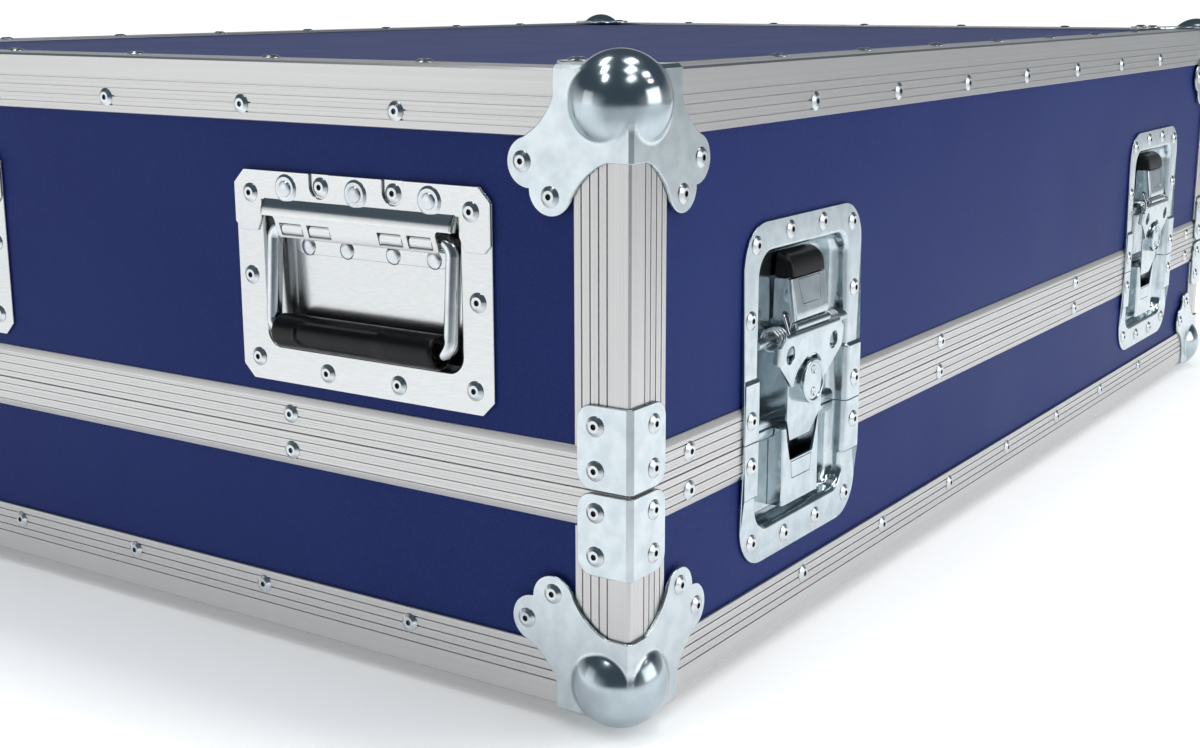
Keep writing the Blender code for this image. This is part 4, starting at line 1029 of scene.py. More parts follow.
def ballCorner():
    look = cornerLook
    net = cornerNet
    gap = caseSize["gap"]
    rise = look["rise"]
    edge = look["edge"]
    path = cornerPath()
    inner = shiftPath(path, edge)
    count = len(path)
    fold = [-rise + (inner[0][0] + rise) * (k / net["folds"]) ** net["foldEase"]
            for k in range(net["folds"])]
    loop = [(u, -rise) for u in fold] + inner + [(-rise, v) for v in reversed(fold)][:-1]
    spots, chains = cornerSpots(rise)
    verts, triangles = fillRegion([loop], chains, spots)
    top = onCorner(verts)
    flat = np.array(verts)
    rimTop = [int(np.argmin(((flat - spot) ** 2).sum(1))) for spot in np.array(inner)]
    top[rimTop] = squareEnds(top[rimTop])
    rows = [[top[k] for k in rimTop]]
    surface = squareEnds(onCorner(path))
    # the edge is rounded at right angles to the skin, also across the folds
    foldInward = np.array(((0, 0.707, 0.707), (0, 0.707, 0.707), (0, 0.414, 1.0)))
    for out, depth in edgeArc:
        at = squareEnds(onCorner(shiftPath(path, edge * (1 - out))))
        inward = np.tile((0.0, 0.0, 1.0), (count, 1))
        inward[:3] = foldInward
        inward[-3:] = foldInward[::-1, (1, 0, 2)]
        rows.append(list(at + depth * edge * inward))
    rows.append([np.array((max(p[0], -gap), max(p[1], -gap), -gap)) for p in surface])
    points = list(top)
    faces = list(triangles)
    offsets = [rimTop]
    for row in rows[1:]:
        offsets.append(list(range(len(points), len(points) + count)))
        points += row
    for low, high in zip(offsets, offsets[1:]):
        for i in range(count - 1):
            faces.append((low[i + 1], low[i], high[i], high[i + 1]))
    cut = look["hollow"]
    points += [np.array((-gap, cut, -gap)), np.array((cut, -gap, -gap))]
    faces.append(tuple([len(points) - 2, len(points) - 1] + offsets[-1]))
    limit = look["ball"] + net["ballMargin"]
    tones = [int(np.mean([np.linalg.norm(points[k] - look["inset"]) for k in face]) < limit)
             for face in faces]
    shell = Shell()
    for x, y, z in ((0, 1, 2), (2, 0, 1), (1, 2, 0)):
        start = len(shell.points)
        shell.points += [(p[x], p[y], p[z]) for p in points]
        shell.faces += [tuple(start + k for k in face) for face in faces]
        shell.tones += tones
    shell.add([(cut, -gap, -gap), (-gap, cut, -gap), (-gap, -gap, cut)], [(0, 1, 2)])
    return shell


def addCorners():
    shell = ballCorner()
    rise = cornerLook["rise"]
    for half, level, up in (("base", caseSize["underside"], 1), ("lid", caseSize["top"], -1)):
        for name, sideX, sideY in (("front_left", -1, -1), ("front_right", 1, -1),
                                   ("back_right", 1, 1), ("back_left", -1, 1)):
            matrix = atCorner(sideX, sideY, up, level)
            piece = makePiece(f"{half}Corner{titled(name)}", shell,
                              ["zinc", "ball"], half, matrix, crease=38,
                              weld=True, flatten=False)
            setCornerNormals(piece, matrix)
            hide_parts(f"{half}_corner_{name}")
            turn = matrix.to_3x3()
            for u, v in cornerLook["rivets"]:
                for spot, facing in (((u, v, -rise), (0, 0, -1)), ((-rise, u, v), (-1, 0, 0)),
                                     ((u, -rise, v), (0, -1, 0))):
                    setRivet(half, "blind", matrix @ Vector(spot), turn @ Vector(facing))


# Handles: dished pan, hinge cover with its rolled edge, leaf with knuckles, bail and grip

def crossing(a, b, level):
    share = (level - a[1]) / (b[1] - a[1])
    return (a[0] + share * (b[0] - a[0]), level)


def dishSheet(shell, outer, rows, thickness, edge, lift, cut=None, chains=(), place=onWall):
    # pressed sheet whose dish follows rows of (loop, share of the depth), as far as the cut
    chains = list(chains)
    known = []
    for loop, share in rows:
        ends = loop + [loop[0]]
        if cut is not None:
            start = next(i for i in range(len(loop)) if loop[i - 1][1] < cut <= loop[i][1])
            turn = loop[start:] + loop[:start]
            kept = [p for p in turn if p[1] >= cut]
            ends = ([crossing(turn[-1], turn[0], cut)] + kept
                    + [crossing(turn[len(kept) - 1], turn[len(kept) % len(turn)], cut)])
        chains.append(ends)
        known += [(u, v, share) for u, v in ends]
    shareAt = shareNear(known)
    pressSheet(shell, outer, [], thickness, edge, place,
               rise=lambda u, v: lift(u, v, shareAt(u, v)), chains=chains)


handleLook = {
    "spacing": 352.4,
    "pivot": 224.8,        # height of the bail's axis
    "blind": ((23.4, 21.3, 0.2), (70.5, 16.0, -1.0), (73.1, -26.4, 0.2), (70.5, -68.9, 0.2),
              (23.3, -72.3, 0.2)),
    "large": ((-46.0, 19.3), (0.0, 19.3), (46.0, 19.3)),
    "domes": (-40.6, -15.0, 15.0, 40.6), "domeRise": -10.3,
}
panLook = {
    "plate": (81.85, -80.6, 27.8),  # half width, bottom, top
    "chamfer": 7.0, "plateCorner": 1.2, "well": (62.7, -61.5, 12.0),
    "front": 0.2, "floor": 9.6, "sheet": 1.25, "edge": 0.35,
    # inset at the sides, inset at top and bottom, share of the depth
    "dish": ((-1.5, -1.5, 0.0), (-1.0, -1.0, 0.012), (-0.5, -0.5, 0.045), (-0.1, -0.1, 0.1),
             (0.15, 0.15, 0.17), (0.4, 0.4, 0.38), (0.7, 0.7, 0.56), (1.1, 1.0, 0.70),
             (1.7, 1.4, 0.765), (2.6, 1.9, 0.79), (12.2, 3.4, 0.985), (12.9, 3.9, 1.0)),
    "mouthCorner": 8.0, "leastCorner": 3.4,
}


def handlePan():
    look = panLook
    shell = Shell()
    half, low, high = look["plate"]
    cut = look["chamfer"]
    outer = [(half, low + cut), (half, high - cut), (half - cut, high), (cut - half, high),
             (-half, high - cut), (-half, low + cut), (cut - half, low), (half - cut, low)]
    outer = roundCorners(outer, look["plateCorner"], 3)
    wellHalf, wellLow, wellHigh = look["well"]
    rows = []
    for aside, up, share in look["dish"]:
        corner = max(look["mouthCorner"] - up, look["leastCorner"])
        loop = roundedBox(wellHalf - aside, wellLow + up, wellHigh - up, corner, 8)
        rows.append((loop, share))
    deep = look["floor"] - look["front"]
    dishSheet(shell, outer, rows, look["sheet"], look["edge"],
              lambda u, v, share: look["front"] + deep * share)
    return shell


coverLook = {
    "front": -1.0, "sheet": 1.15, "edge": 0.35, "foot": 13.0,
    "overlap": 0.6,        # beyond the well's sides
    "ear": -3.2,           # lowest point beside the well
    "earCut": 4.0,
    "earSlope": (4.0, 3),  # from the well's side, and above the cut
    "bends": (0, 2.0, 1.0, 1.0, 1.0, 1.2, 1.2),
    "notchAt": 23.6, "notchHalf": 6.35, "notchFoot": 15.5, "notchBend": 0.8, "notchSteps": 14,
}


def handleCover():
    look = coverLook
    shell = Shell()
    half, _, top = panLook["plate"]
    cut = panLook["chamfer"]
    side = panLook["well"][0] + look["overlap"]
    ear, nick = look["ear"], look["earCut"]
    aside, up = look["earSlope"]
    reach, steps = look["notchHalf"], look["notchSteps"]
    foot = look["notchFoot"] + reach
    right = [(side, look["foot"]), (side, ear + nick + up), (panLook["well"][0] + aside, ear),
             (half - nick, ear), (half, ear + nick), (half, top - cut), (half - cut, top)]
    outline = list(right)
    bends = list(look["bends"])
    for middle in (look["notchAt"], -look["notchAt"]):
        outline.append((middle + reach, top))
        outline += [(middle + reach * cos(a), foot - reach * sin(a))
                    for a in [pi * k / steps for k in range(steps + 1)]]
        outline.append((middle - reach, top))
        bends += [look["notchBend"]] + [0] * (steps + 1) + [look["notchBend"]]
    outline += [(-u, v) for u, v in reversed(right)]
    bends += reversed(look["bends"])
    pressSheet(shell, roundCorners(outline, bends, 3), [], look["sheet"], look["edge"], onWall,
               rise=lambda u, v: look["front"])
    return shell


rollLook = {
    # height and depth along the rolled sheet, from its root in the cover
    "line": ((14.0, -0.9), (13.4, -1.3), (12.4, -2.1), (11.1, -2.95), (9.6, -3.7), (8.0, -4.2),
             (6.2, -4.4), (4.3, -4.3), (2.4, -3.95), (0.4, -3.45), (-1.6, -2.85), (-3.6, -2.1),
             (-5.3, -1.3)),
    "sheet": 0.95, "edge": 0.3,
    "reach": 61.4,         # half width at the root
    "middle": 51.6,        # and below the step in its sides
    "step": 5.5, "bends": (0, 0.5, 2.0, 1.2, 1.2, 2.0, 0.5, 0), "windows": (22.9, 41.3),
    "windowHalf": 7.4, "windowRange": (2.4, -3.9), "windowBend": 0.5,
    "clear": 0.6,          # between the crease lines and the outline or a window
    "capFrom": 5.4,        # the end caps follow the line down to here
    "cap": ((5.5, -4.3), (5.5, -0.4), (8.0, 0.25), (13.6, 0.25)),
    "capInset": (0.4, 1.6),
}


def rolledEdge():
    look = rollLook
    shell = Shell()
    line = [Vector(p) for p in look["line"]]
    lengths = [0.0]
    for a, b in zip(line, line[1:]):
        lengths.append(lengths[-1] + (b - a).length)

    def follow(u, v, t):
        v = min(max(v, 0.0), lengths[-1] - 1e-6)
        i = max(k for k in range(len(line) - 1) if lengths[k] <= v)
        share = (v - lengths[i]) / (lengths[i + 1] - lengths[i])
        point = line[i].lerp(line[i + 1], share)
        before = line[i] - line[max(i - 1, 0)] + line[i + 1] - line[i]
        after = line[min(i + 2, len(line) - 1)] - line[i + 1] + line[i + 1] - line[i]
        run = before.normalized().lerp(after.normalized(), share).normalized()
        return (u, point.y - t * run.x, point.x + t * run.y)

    def lengthAt(z):
        i = next(k for k in range(len(line) - 1) if line[k + 1].x <= z)
        return lengths[i] + (lengths[i + 1] - lengths[i]) * (line[i].x - z) / (
            line[i].x - line[i + 1].x)

    wide, middle = look["reach"], look["middle"]
    short = lengthAt(look["step"])
    end = lengths[-1]
    outline = roundCorners(mirrored([(wide, 0), (wide, short), (middle, short), (middle, end)]),
                           look["bends"], 4)
    first, last = [lengthAt(z) for z in look["windowRange"]]
    reach, clear = look["windowHalf"], look["clear"]
    centres = [side * place for place in look["windows"] for side in (-1, 1)]
    holes = [roundCorners([(centre - reach, first), (centre + reach, first),
                           (centre + reach, last), (centre - reach, last)],
                          look["windowBend"], 3) for centre in centres]
    between = [-middle + clear]
    for centre in sorted(centres):
        between += [centre - reach - clear, centre + reach + clear]
    between.append(middle - clear)
    upper = [s for s in lengths[1:] if s < short - 0.5]
    chains = [[(-wide + clear, s), (wide - clear, s)] for s in upper]
    for s in lengths[1 + len(upper):-1]:
        if first - clear < s < last + clear:
            pairs = zip(between[::2], between[1::2])
        else:
            pairs = [(between[0], between[-1])]
        chains += [[(a, s), (b, s)] for a, b in pairs if b - a > 1]
    pressSheet(shell, outline, holes, look["sheet"], look["edge"], follow, chains=chains)
    # end caps close the roll against the pan
    section = [(p.x, p.y) for p in line if p.x > look["capFrom"]] + list(look["cap"])
    for side in (-1, 1):
        skin(shell, [[across(z, y, side * (wide - away)) for z, y in section]
                     for away in look["capInset"]])
    return shell


leafLook = {
    "plate": (49.4, -14.2, -5.7, 8.4),  # half width, bottom, top, depth of the front
    "bends": (4.5, 1.0, 1.0, 4.5),
    "sheet": 1.1, "edge": 0.3,
    "knuckle": (5.3, 4.4, 6.7),  # outer and inner radius, half length
    "turn": (-20, 196, 12),  # degrees from, to and step
    "strap": 6.6,          # below the axis, where each knuckle's strap meets the leaf
}
bailLook = {
    "radius": 3.9,
    "depth": 2.8,          # of its axis
    "bend": 6.5, "span": 57.6, "stub": 42.0, "arm": 52.5, "lean": 0.08,
}


def hingeLeaf():
    look = leafLook
    shell = Shell()
    half, low, high, front = look["plate"]
    outline = roundedBox(half, low, high, look["bends"], 6)
    pressSheet(shell, outline, [], look["sheet"], look["edge"], onWall,
               rise=lambda u, v: front)
    outer, inner, reach = look["knuckle"]
    middle, foot = bailLook["depth"], -look["strap"]
    angles = [radians(a) for a in range(*look["turn"])]
    section = []
    for radius, order in ((outer, angles), (inner, list(reversed(angles)))):
        section += [(radius * cos(a), middle - radius * sin(a)) for a in order]
    strap = [(-outer + 0.2, middle), (-outer - 0.9, 6.2), (foot, front + 0.05),
             (foot, front + 1.0), (-outer + 0.3, 7.2), (-inner, middle)]
    for place in rollLook["windows"]:
        for side in (-1, 1):
            for part in (section, strap):
                skin(shell, [[across(z, y, side * place + end * reach) for z, y in part]
                             for end in (-1, 1)])
    return shell


def bail():
    look = bailLook
    shell = Shell()
    leg, bend, arm = look["span"], look["bend"], look["arm"]
    quarter = [pi / 20 * k for k in range(11)]
    half = [(leg - look["stub"], 0.0)]
    half += [(leg - bend + bend * sin(a), -bend + bend * cos(a)) for a in quarter]
    half += [(leg - bend + bend * cos(a), bend - arm - bend * sin(a)) for a in quarter]
    wire(shell, [(x, look["depth"] + z * look["lean"], z) for x, z in mirrored(half)],
         look["radius"], 24)
    return shell


gripLook = {
    "radius": 8.75, "half": 51.9,
    # moulded end: inset, radius
    "end": ((2.8, 4.4), (2.6, 6.0), (0.9, 6.5), (0.25, 7.1), (0.0, 7.55), (0.35, 8.2),
            (1.2, 8.6), (2.2, 8.75)),
    "plain": 4,            # from the ends to the even rows of points
    "rows": 74, "steps": 96,
    "panel": (-36.0, 26.0, 6.6),  # along the grip from, to, and half height
    "panelDepth": 0.9,
    "panelWall": (-0.5, 0.1),  # from its outline
    "lip": (0.2, 0.5, 0.1, 0.7),  # height, place, half of its top and of its foot
    "fade": (14, 4),       # before the panel's end
    "turn": 6,             # degrees
}


def panelDepth(x, around):
    # of the moulded panel, with the low lip round it
    look = gripLook
    start, end, high = look["panel"]
    ends = abs(x - (start + end) / 2) - (end - start) / 2 + high
    edge = hypot(max(ends, 0.0), around) - high
    first, last = look["fade"]
    fade = 1 - smoothStep(end - first, end - last, x)
    lip, middle, top, foot = look["lip"]
    return (look["panelDepth"] * (1 - smoothStep(*look["panelWall"], edge)) * fade
            - lip * (1 - smoothStep(top, foot, abs(edge - middle))) * fade)


def grip():
    look = gripLook
    shell = Shell()
    radius, half = look["radius"], look["half"]
    ends = [(half - inset, r) for inset, r in look["end"]]
    middle = np.linspace(half - look["plain"], look["plain"] - half, look["rows"])
    line = ends + [(x, radius) for x in middle] + [(-x, r) for x, r in reversed(ends)]
    height = -bailLook["arm"]
    depth = bailLook["depth"] - bailLook["lean"] * bailLook["arm"]
    loops = []
    for k in range(look["steps"]):
        angle = 2 * pi * k / look["steps"]
        around = ((angle + pi) % (2 * pi) - pi) * radius
        tilt = angle + radians(look["turn"])
        loop = []
        for x, r in line:
            if r == radius:
                r -= panelDepth(x, around)
            loop.append((x, depth - r * cos(tilt), height + r * sin(tilt)))
        loops.append(loop)
    skin(shell, loops, closed=True)
    return shell


def addHandles():
    look = handleLook
    parts = {"Pan": (handlePan(), "brushed", None), "Cover": (handleCover(), "brushed", None),
             "Roll": (rolledEdge(), "brushed", None), "Leaf": (hingeLeaf(), "brushed", None),
             "Bail": (bail(), "bright", "bail"), "Grip": (grip(), "plastic", "grip")}
    for name, side, along in (("left_front", -1, -1), ("left_back", -1, 1),
                              ("right_front", 1, -1), ("right_back", 1, 1)):
        seat = (Matrix.Translation((side * halfX, along * look["spacing"] / 2, look["pivot"]))
                @ Matrix.Rotation(side * pi / 2, 4, "Z"))
        for part, (shell, kind, moving) in parts.items():
            body = f"handle_{name}" if moving else "lid"
            piece = makePiece(f"handle{part}{titled(name)}", shell, [kind], body, seat)
            if part == "Pan":
                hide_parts(f"handle_pan_{name}")
            elif moving:
                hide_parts(f"handle_{moving}_{name}")
        out = seat.to_3x3() @ Vector((0, -1, 0))
        for x, z, depth in look["blind"]:
            for sign in (-1, 1):
                setRivet("lid", "blind", seat @ Vector((sign * x, depth, z)), out)
        for x, z in look["large"]:
            setRivet("lid", "large", seat @ Vector((x, coverLook["front"], z)), out)
        for x in look["domes"]:
            setRivet("lid", "dome", seat @ Vector((x, leafLook["plate"][3], look["domeRise"])),
                     out)


# Recessed latches

latchLook = {
    "spacing": 628.0,
    "plate": (66.0, -66.8, 110.3, 22.0),  # half width, bottom, top, corner
    "well": (49.5, -48.6, 94.4, 12.0),
    "leastCorner": 4.0, "front": 0.2,
    "raised": -1.6,        # the middle stands on the rims
    "steps": (-29.6, 31.4), "stepRun": 2.2, "stepRows": (-1.1, -0.7, -0.35, 0.0, 0.35, 0.7, 1.1),
    "floor": 9.6, "sheet": 1.25, "edge": 0.35,
    # inset from the mouth, share of the depth
    "dish": ((-2.4, 0.0), (-1.7, 0.015), (-1.0, 0.05), (-0.4, 0.12), (0.05, 0.2), (0.4, 0.34),
             (0.75, 0.52), (1.2, 0.68), (1.9, 0.81), (2.9, 0.91), (4.2, 0.97), (5.6, 1.0)),
    "axle": (47.9, 2.7, 3.0, 49.8),  # height, depth, radius, half length
    "pin": (5.0, -6.0),    # of the hook, above the axle and in front of it
    "rivets": ((54.0, 99.4), (18.3, 103.4), (58.5, 62.4), (59.0, 11.6), (58.7, -12.1),
               (54.0, -54.3), (18.2, -58.2)),
    "domes": ((-38.5, 66.0), (-38.5, -24.0)),
    "shelf": (3.4, 2.6, 7.0),  # height of the ledge, its flat and whole length
    "shelfRange": (48.6, 21.4),  # its half width, and half the keeper's gap in it
}


def latchFront(v):
    low, high = latchLook["steps"]
    run = latchLook["stepRun"] / 2
    share = smoothStep(low - run, low + run, v) * (1 - smoothStep(high - run, high + run, v))
    return latchLook["front"] + (latchLook["raised"] - latchLook["front"]) * share


def latchPan(isLid):
    look = latchLook
    sign = 1 if isLid else -1
    half, low, high, corner = look["plate"]
    edge, floor = look["edge"], look["floor"]
    joint = caseSize["gap"] / 2
    far = high if isLid else -low
    outer = roundedBox(half, joint, far, [0, corner, corner, 0], 12)
    steps = sorted(abs(s) + d for s in look["steps"] if s * sign > 0 for d in look["stepRows"])
    wellHalf, wellLow, wellHigh, bend = look["well"]
    rows = []
    for inset, share in look["dish"]:
        loop = roundedBox(wellHalf - inset, wellLow + inset, wellHigh - inset,
                          max(bend - inset, look["leastCorner"]), 9)
        loop = counterClockwise([(u, sign * v) for u, v in loop])
        dense = []
        for i, p in enumerate(loop):
            q = loop[(i + 1) % len(loop)]
            cuts = [s for s in steps if min(p[1], q[1]) < s < max(p[1], q[1])]
            dense.append(p)
            dense += [crossing(p, q, s) for s in sorted(cuts, reverse=p[1] > q[1])]
        rows.append((dense, share))

    def height(u, v, share):
        return latchFront(sign * v) * (1 - share) + floor * share

    def place(u, v, t):
        return (u, t, sign * v)

    # creases from the mouth to the plate's sides carry the step
    lip = look["dish"][0][0]
    side = [[(x, s), (x + (half - 0.5 - abs(x)) * (1 if x > 0 else -1), s)]
            for s in steps for x in (wellHalf - lip + 0.1, lip - wellHalf - 0.1)]
    shell = Shell()
    dishSheet(shell, outer, rows, look["sheet"], edge, height, joint + edge, side, place)
    # ledge across the floor beside the joint
    rise, flat, run = look["shelf"]
    wide, free = look["shelfRange"]
    line = [(joint, floor + 0.2), (joint, floor - rise + 0.5), (joint + 0.4, floor - rise + 0.1),
            (joint + 0.9, floor - rise)]
    line += [(flat + (run - flat) * sin(a), floor - rise * cos(a))
             for a in [pi / 16 * k for k in range(9)]]
    line.append((run, floor + 0.2))
    for start, end in [(-wide, wide)] if isLid else [(-wide, -free), (free, wide)]:
        skin(shell, [[across(sign * z, y, x) for z, y in line] for x in (start, end)])
    if isLid:
        rise, depth, radius, reach = look["axle"]
        wire(shell, [(-reach, depth, rise), (reach, depth, rise)], radius, 28)
    return shell


# groove round a pressed tab: inset, share of the depth
tabPress = {"corner": 1.0, "depth": 0.7,
            "groove": ((0.0, 0.0), (0.15, 1.0), (0.4, 1.0), (0.55, 0.0))}


def pressedTab(tab):
    # creases of the groove, and the depth that it gives at each place
    (wide, high), (narrow, low) = tab
    outline = counterClockwise(roundCorners(mirrored([(wide, high), (narrow, low)]),
                                            tabPress["corner"], 4))
    rows = [(insetLoop(outline, inset), share) for inset, share in tabPress["groove"]]
    shareAt = shareNear([(u, v, share) for loop, share in rows for u, v in loop])
    return ([loop + [loop[0]] for loop, _ in rows],
            lambda u, v: tabPress["depth"] * shareAt(u, v))


keeperLook = {
    "half": 20.5, "foot": -43.6, "head": -1.0, "front": 0.4, "floor": 9.5, "fold": 1.6,
    "sheet": 1.4, "edge": 0.3, "bends": (0.6, 0.6, 0.5, 1.0, 1.0, 0.5, 0.6, 0.6),
    "notch": ((19.5, -1.0), (12.9, -19.6)), "notchFloor": 8.5,
    "tab": ((12.2, -20.6), (10.6, -30.4)),
}


def keeper():
    look = keeperLook
    shell = Shell()
    half, fold, foot, head = look["half"], look["fold"], look["foot"], look["head"]
    flat = half - fold
    run = fold * pi / 2
    side = look["floor"] - look["front"] - fold
    reach = flat + run + side
    (wide, top), (narrow, low) = look["notch"]
    wide = min(wide, flat)
    outline = mirrored([(reach, foot), (reach, head), (wide, top), (narrow, low)])
    creases, sink = pressedTab(look["tab"])
    pressSheet(shell, roundCorners(outline, look["bends"], 4), [], look["sheet"], look["edge"],
               foldedPlate(half, fold, lambda v: look["front"]), rise=sink,
               chains=foldLines(flat, run, 4, foot + 0.5, head - 0.6) + creases)
    # floor of the notch
    skin(shell, [[(x * (half - 0.5), y, z) for x, z in ((-1, foot + 0.5), (1, foot + 0.5),
                                                       (1, head - 0.4), (-1, head - 0.4))]
                 for y in (look["notchFloor"], look["floor"] + 0.2)])
    return shell


leverLook = {
    "half": 20.15, "sheet": 1.5, "edge": 0.3, "fold": 2.4, "foot": 7.4, "top": 30.2,
    # height and depth of the front about the axle
    "front": ((11.5, -7.0), (30.2, -4.1)),
    "curl": (1.2, 9.4, -2.0), "curlRows": (8.3, 8.8, 9.4, 10.4, 11.5, 12.6),
    "cheek": 6.0, "cheekSweep": (-45, 225, 26), "rear": 5.7, "axleHole": 3.3,
    "springHole": (11.5, -1.3, 1.5), "tab": ((12.6, 29.4), (10.4, 15.8)),
}


def lever():
    look = leverLook
    shell = Shell()
    half, fold, top = look["half"], look["fold"], look["top"]
    flat = half - fold
    run = fold * pi / 2

    def front(v):
        (start, a), (end, b) = look["front"]
        return a if v <= start else a + (b - a) * (v - start) / (end - start)

    def onCheek(h, d):
        return (flat + run + d - front(h) - fold, h)

    start, sweep, steps = look["cheekSweep"]
    right = [(flat + run * 0.9, look["foot"])]
    right += [onCheek(look["cheek"] * cos(a), look["cheek"] * sin(a))
              for a in [radians(start - sweep * k / steps) for k in range(steps + 1)]]
    right += [onCheek(top, look["rear"]), onCheek(top, front(top) + fold)]
    bends = [0.8] + [0] * (steps + 1) + [1.2, 0]
    outline = roundCorners(mirrored(right), bends + bends[::-1], 4)
    h, d, r = look["springHole"]
    holes = []
    for sign in (-1, 1):
        for (u, v), radius in ((onCheek(h, d), r), (onCheek(0.0, 0.0), look["axleHole"])):
            holes.append(ring((sign * u, v), radius, 20))
    creases, sink = pressedTab(look["tab"])
    chains = foldLines(flat, run, 5, 8.2, top - 0.5)
    chains += [[(-flat + 0.4, v), (flat - 0.4, v)] for v in look["curlRows"]]
    pressSheet(shell, outline, holes, look["sheet"], look["edge"],
               foldedPlate(half, fold, front, curlFrom(*look["curl"])), rise=sink,
               chains=chains + creases)
    return shell


tipLook = {
    "half": 19.25, "low": 30.5, "high": 43.2, "rear": 5.7, "front": -4.6, "round": 3.0,
    "rows": (0.0, 0.02, 0.3, 0.5, 0.65, 0.78, 0.88, 0.95, 0.99, 1.0),
    "trim": 0.35,          # small chamfer against the lever
    "narrow": (3.2, 0.55, 2.4),  # by how much at the end, from which share on, its power
    "bow": (8.6, 2.6),     # the front bows back by this, and its power
    "slant": 0.6, "least": 2.0,
}


def leverTip():
    look = tipLook
    shell = Shell()
    low, high, rear = look["low"], look["high"], look["rear"]
    less, begin, power = look["narrow"]
    deep, curve = look["bow"]
    loops = []
    for share in look["rows"]:
        trim = 0.0 if share else look["trim"]
        half = look["half"] - trim - less * max(0.0, (share - begin) / (1 - begin)) ** power
        back = 1 - sqrt(max(0.0, 1 - share ** curve))
        front = look["front"] + trim + deep * back * 0.95 + look["slant"] * share
        front = min(front, rear - look["least"])
        corner = min(look["round"], (rear - trim - front) * 0.45)
        outline = roundedBox(half, front, rear - trim, [corner, 0.6, 0.6, corner], 7)
        loops.append([(x, y, low + (high - low) * share) for x, y in outline])
    skin(shell, loops)
    return shell


springLook = {"wire": 0.9, "mean": 5.4, "turns": 4, "steps": 28, "pitch": 2.9, "start": 23.0,
              "leg": 1.8}


def latchSpring():
    # one coil at each side of the lever, its outer leg through the lever's hole
    look = springLook
    shell = Shell()
    h, d, _ = leverLook["springHole"]
    mean, steps, start = look["mean"], look["steps"], look["start"]
    leave = atan2(-d, h) + acos(mean / hypot(h, d))
    coil = []
    for i in range(look["turns"] * steps + 1):
        angle = leave + 2 * pi * i / steps
        coil.append(Vector((start + look["pitch"] * i / steps, -mean * sin(angle),
                            mean * cos(angle))))
    coil.append(coil[-1] + (coil[-1] - coil[-2]).normalized() * look["leg"])
    side = list(reversed(coil))
    bend = 2 * look["wire"]
    corner = Vector((start - bend * 0.3, d, h))
    first = corner + (coil[0] - corner).normalized() * bend
    last = Vector((start - bend * 1.3, d, h))
    for t in [k / 8 for k in range(9)]:
        side.append(first * (1 - t) ** 2 + corner * 2 * t * (1 - t) + last * t * t)
    wire(shell, side + [Vector((-p.x, p.y, p.z)) for p in reversed(side)], look["wire"], 12)
    return shell


hookLook = {
    "sheet": 1.5, "edge": 0.35, "halfTop": 30.2, "topDrop": 2.5, "halfWidth": 36.6,
    "shoulder": 8.0, "side": 9.0, "halfTip": 19.5, "tipWidth": 5.0, "tipDrop": 31.5,
    "bends": (2.2, 0.8, 0.8, 0.8, 0.8, 1.4, 0.5), "front": -2.6, "slope": 0.095,
    "curl": (0.9, -4.4, 1.9), "curlRows": (-3.1, -3.5, -3.9, -4.4, -5.0),
    "fold": 1.5, "return": 4.2, "hole": (24.65, -13.4, 4.75), "arch": 14.7, "archSteps": 30,
    "rod": (18.4, 2.2),    # half length, radius
    "bridge": (10.0, -15.7, -18.2),  # half width, top and bottom
    "tongueBack": 2.4, "tongue": ((19.5, -15.5), (19.5, -49.5), (11.5, -62.5)),
    "tongueDip": 2.4, "tongueRows": ((1, 0), (4, 4), (6.5, 8)),
    "disc": (12.0, 5.8, 31.2),  # radius, height, drop of its middle
    # inset and rise of its rim, then of its face
    "discRim": ((0.0, 0.9), (0.25, 0.3), (0.8, 0.0), (1.5, 0.0), (1.9, 0.3), (2.2, 0.75)),
    "discFace": 0.8, "dimples": 5.9, "dimple": 2.7,
}


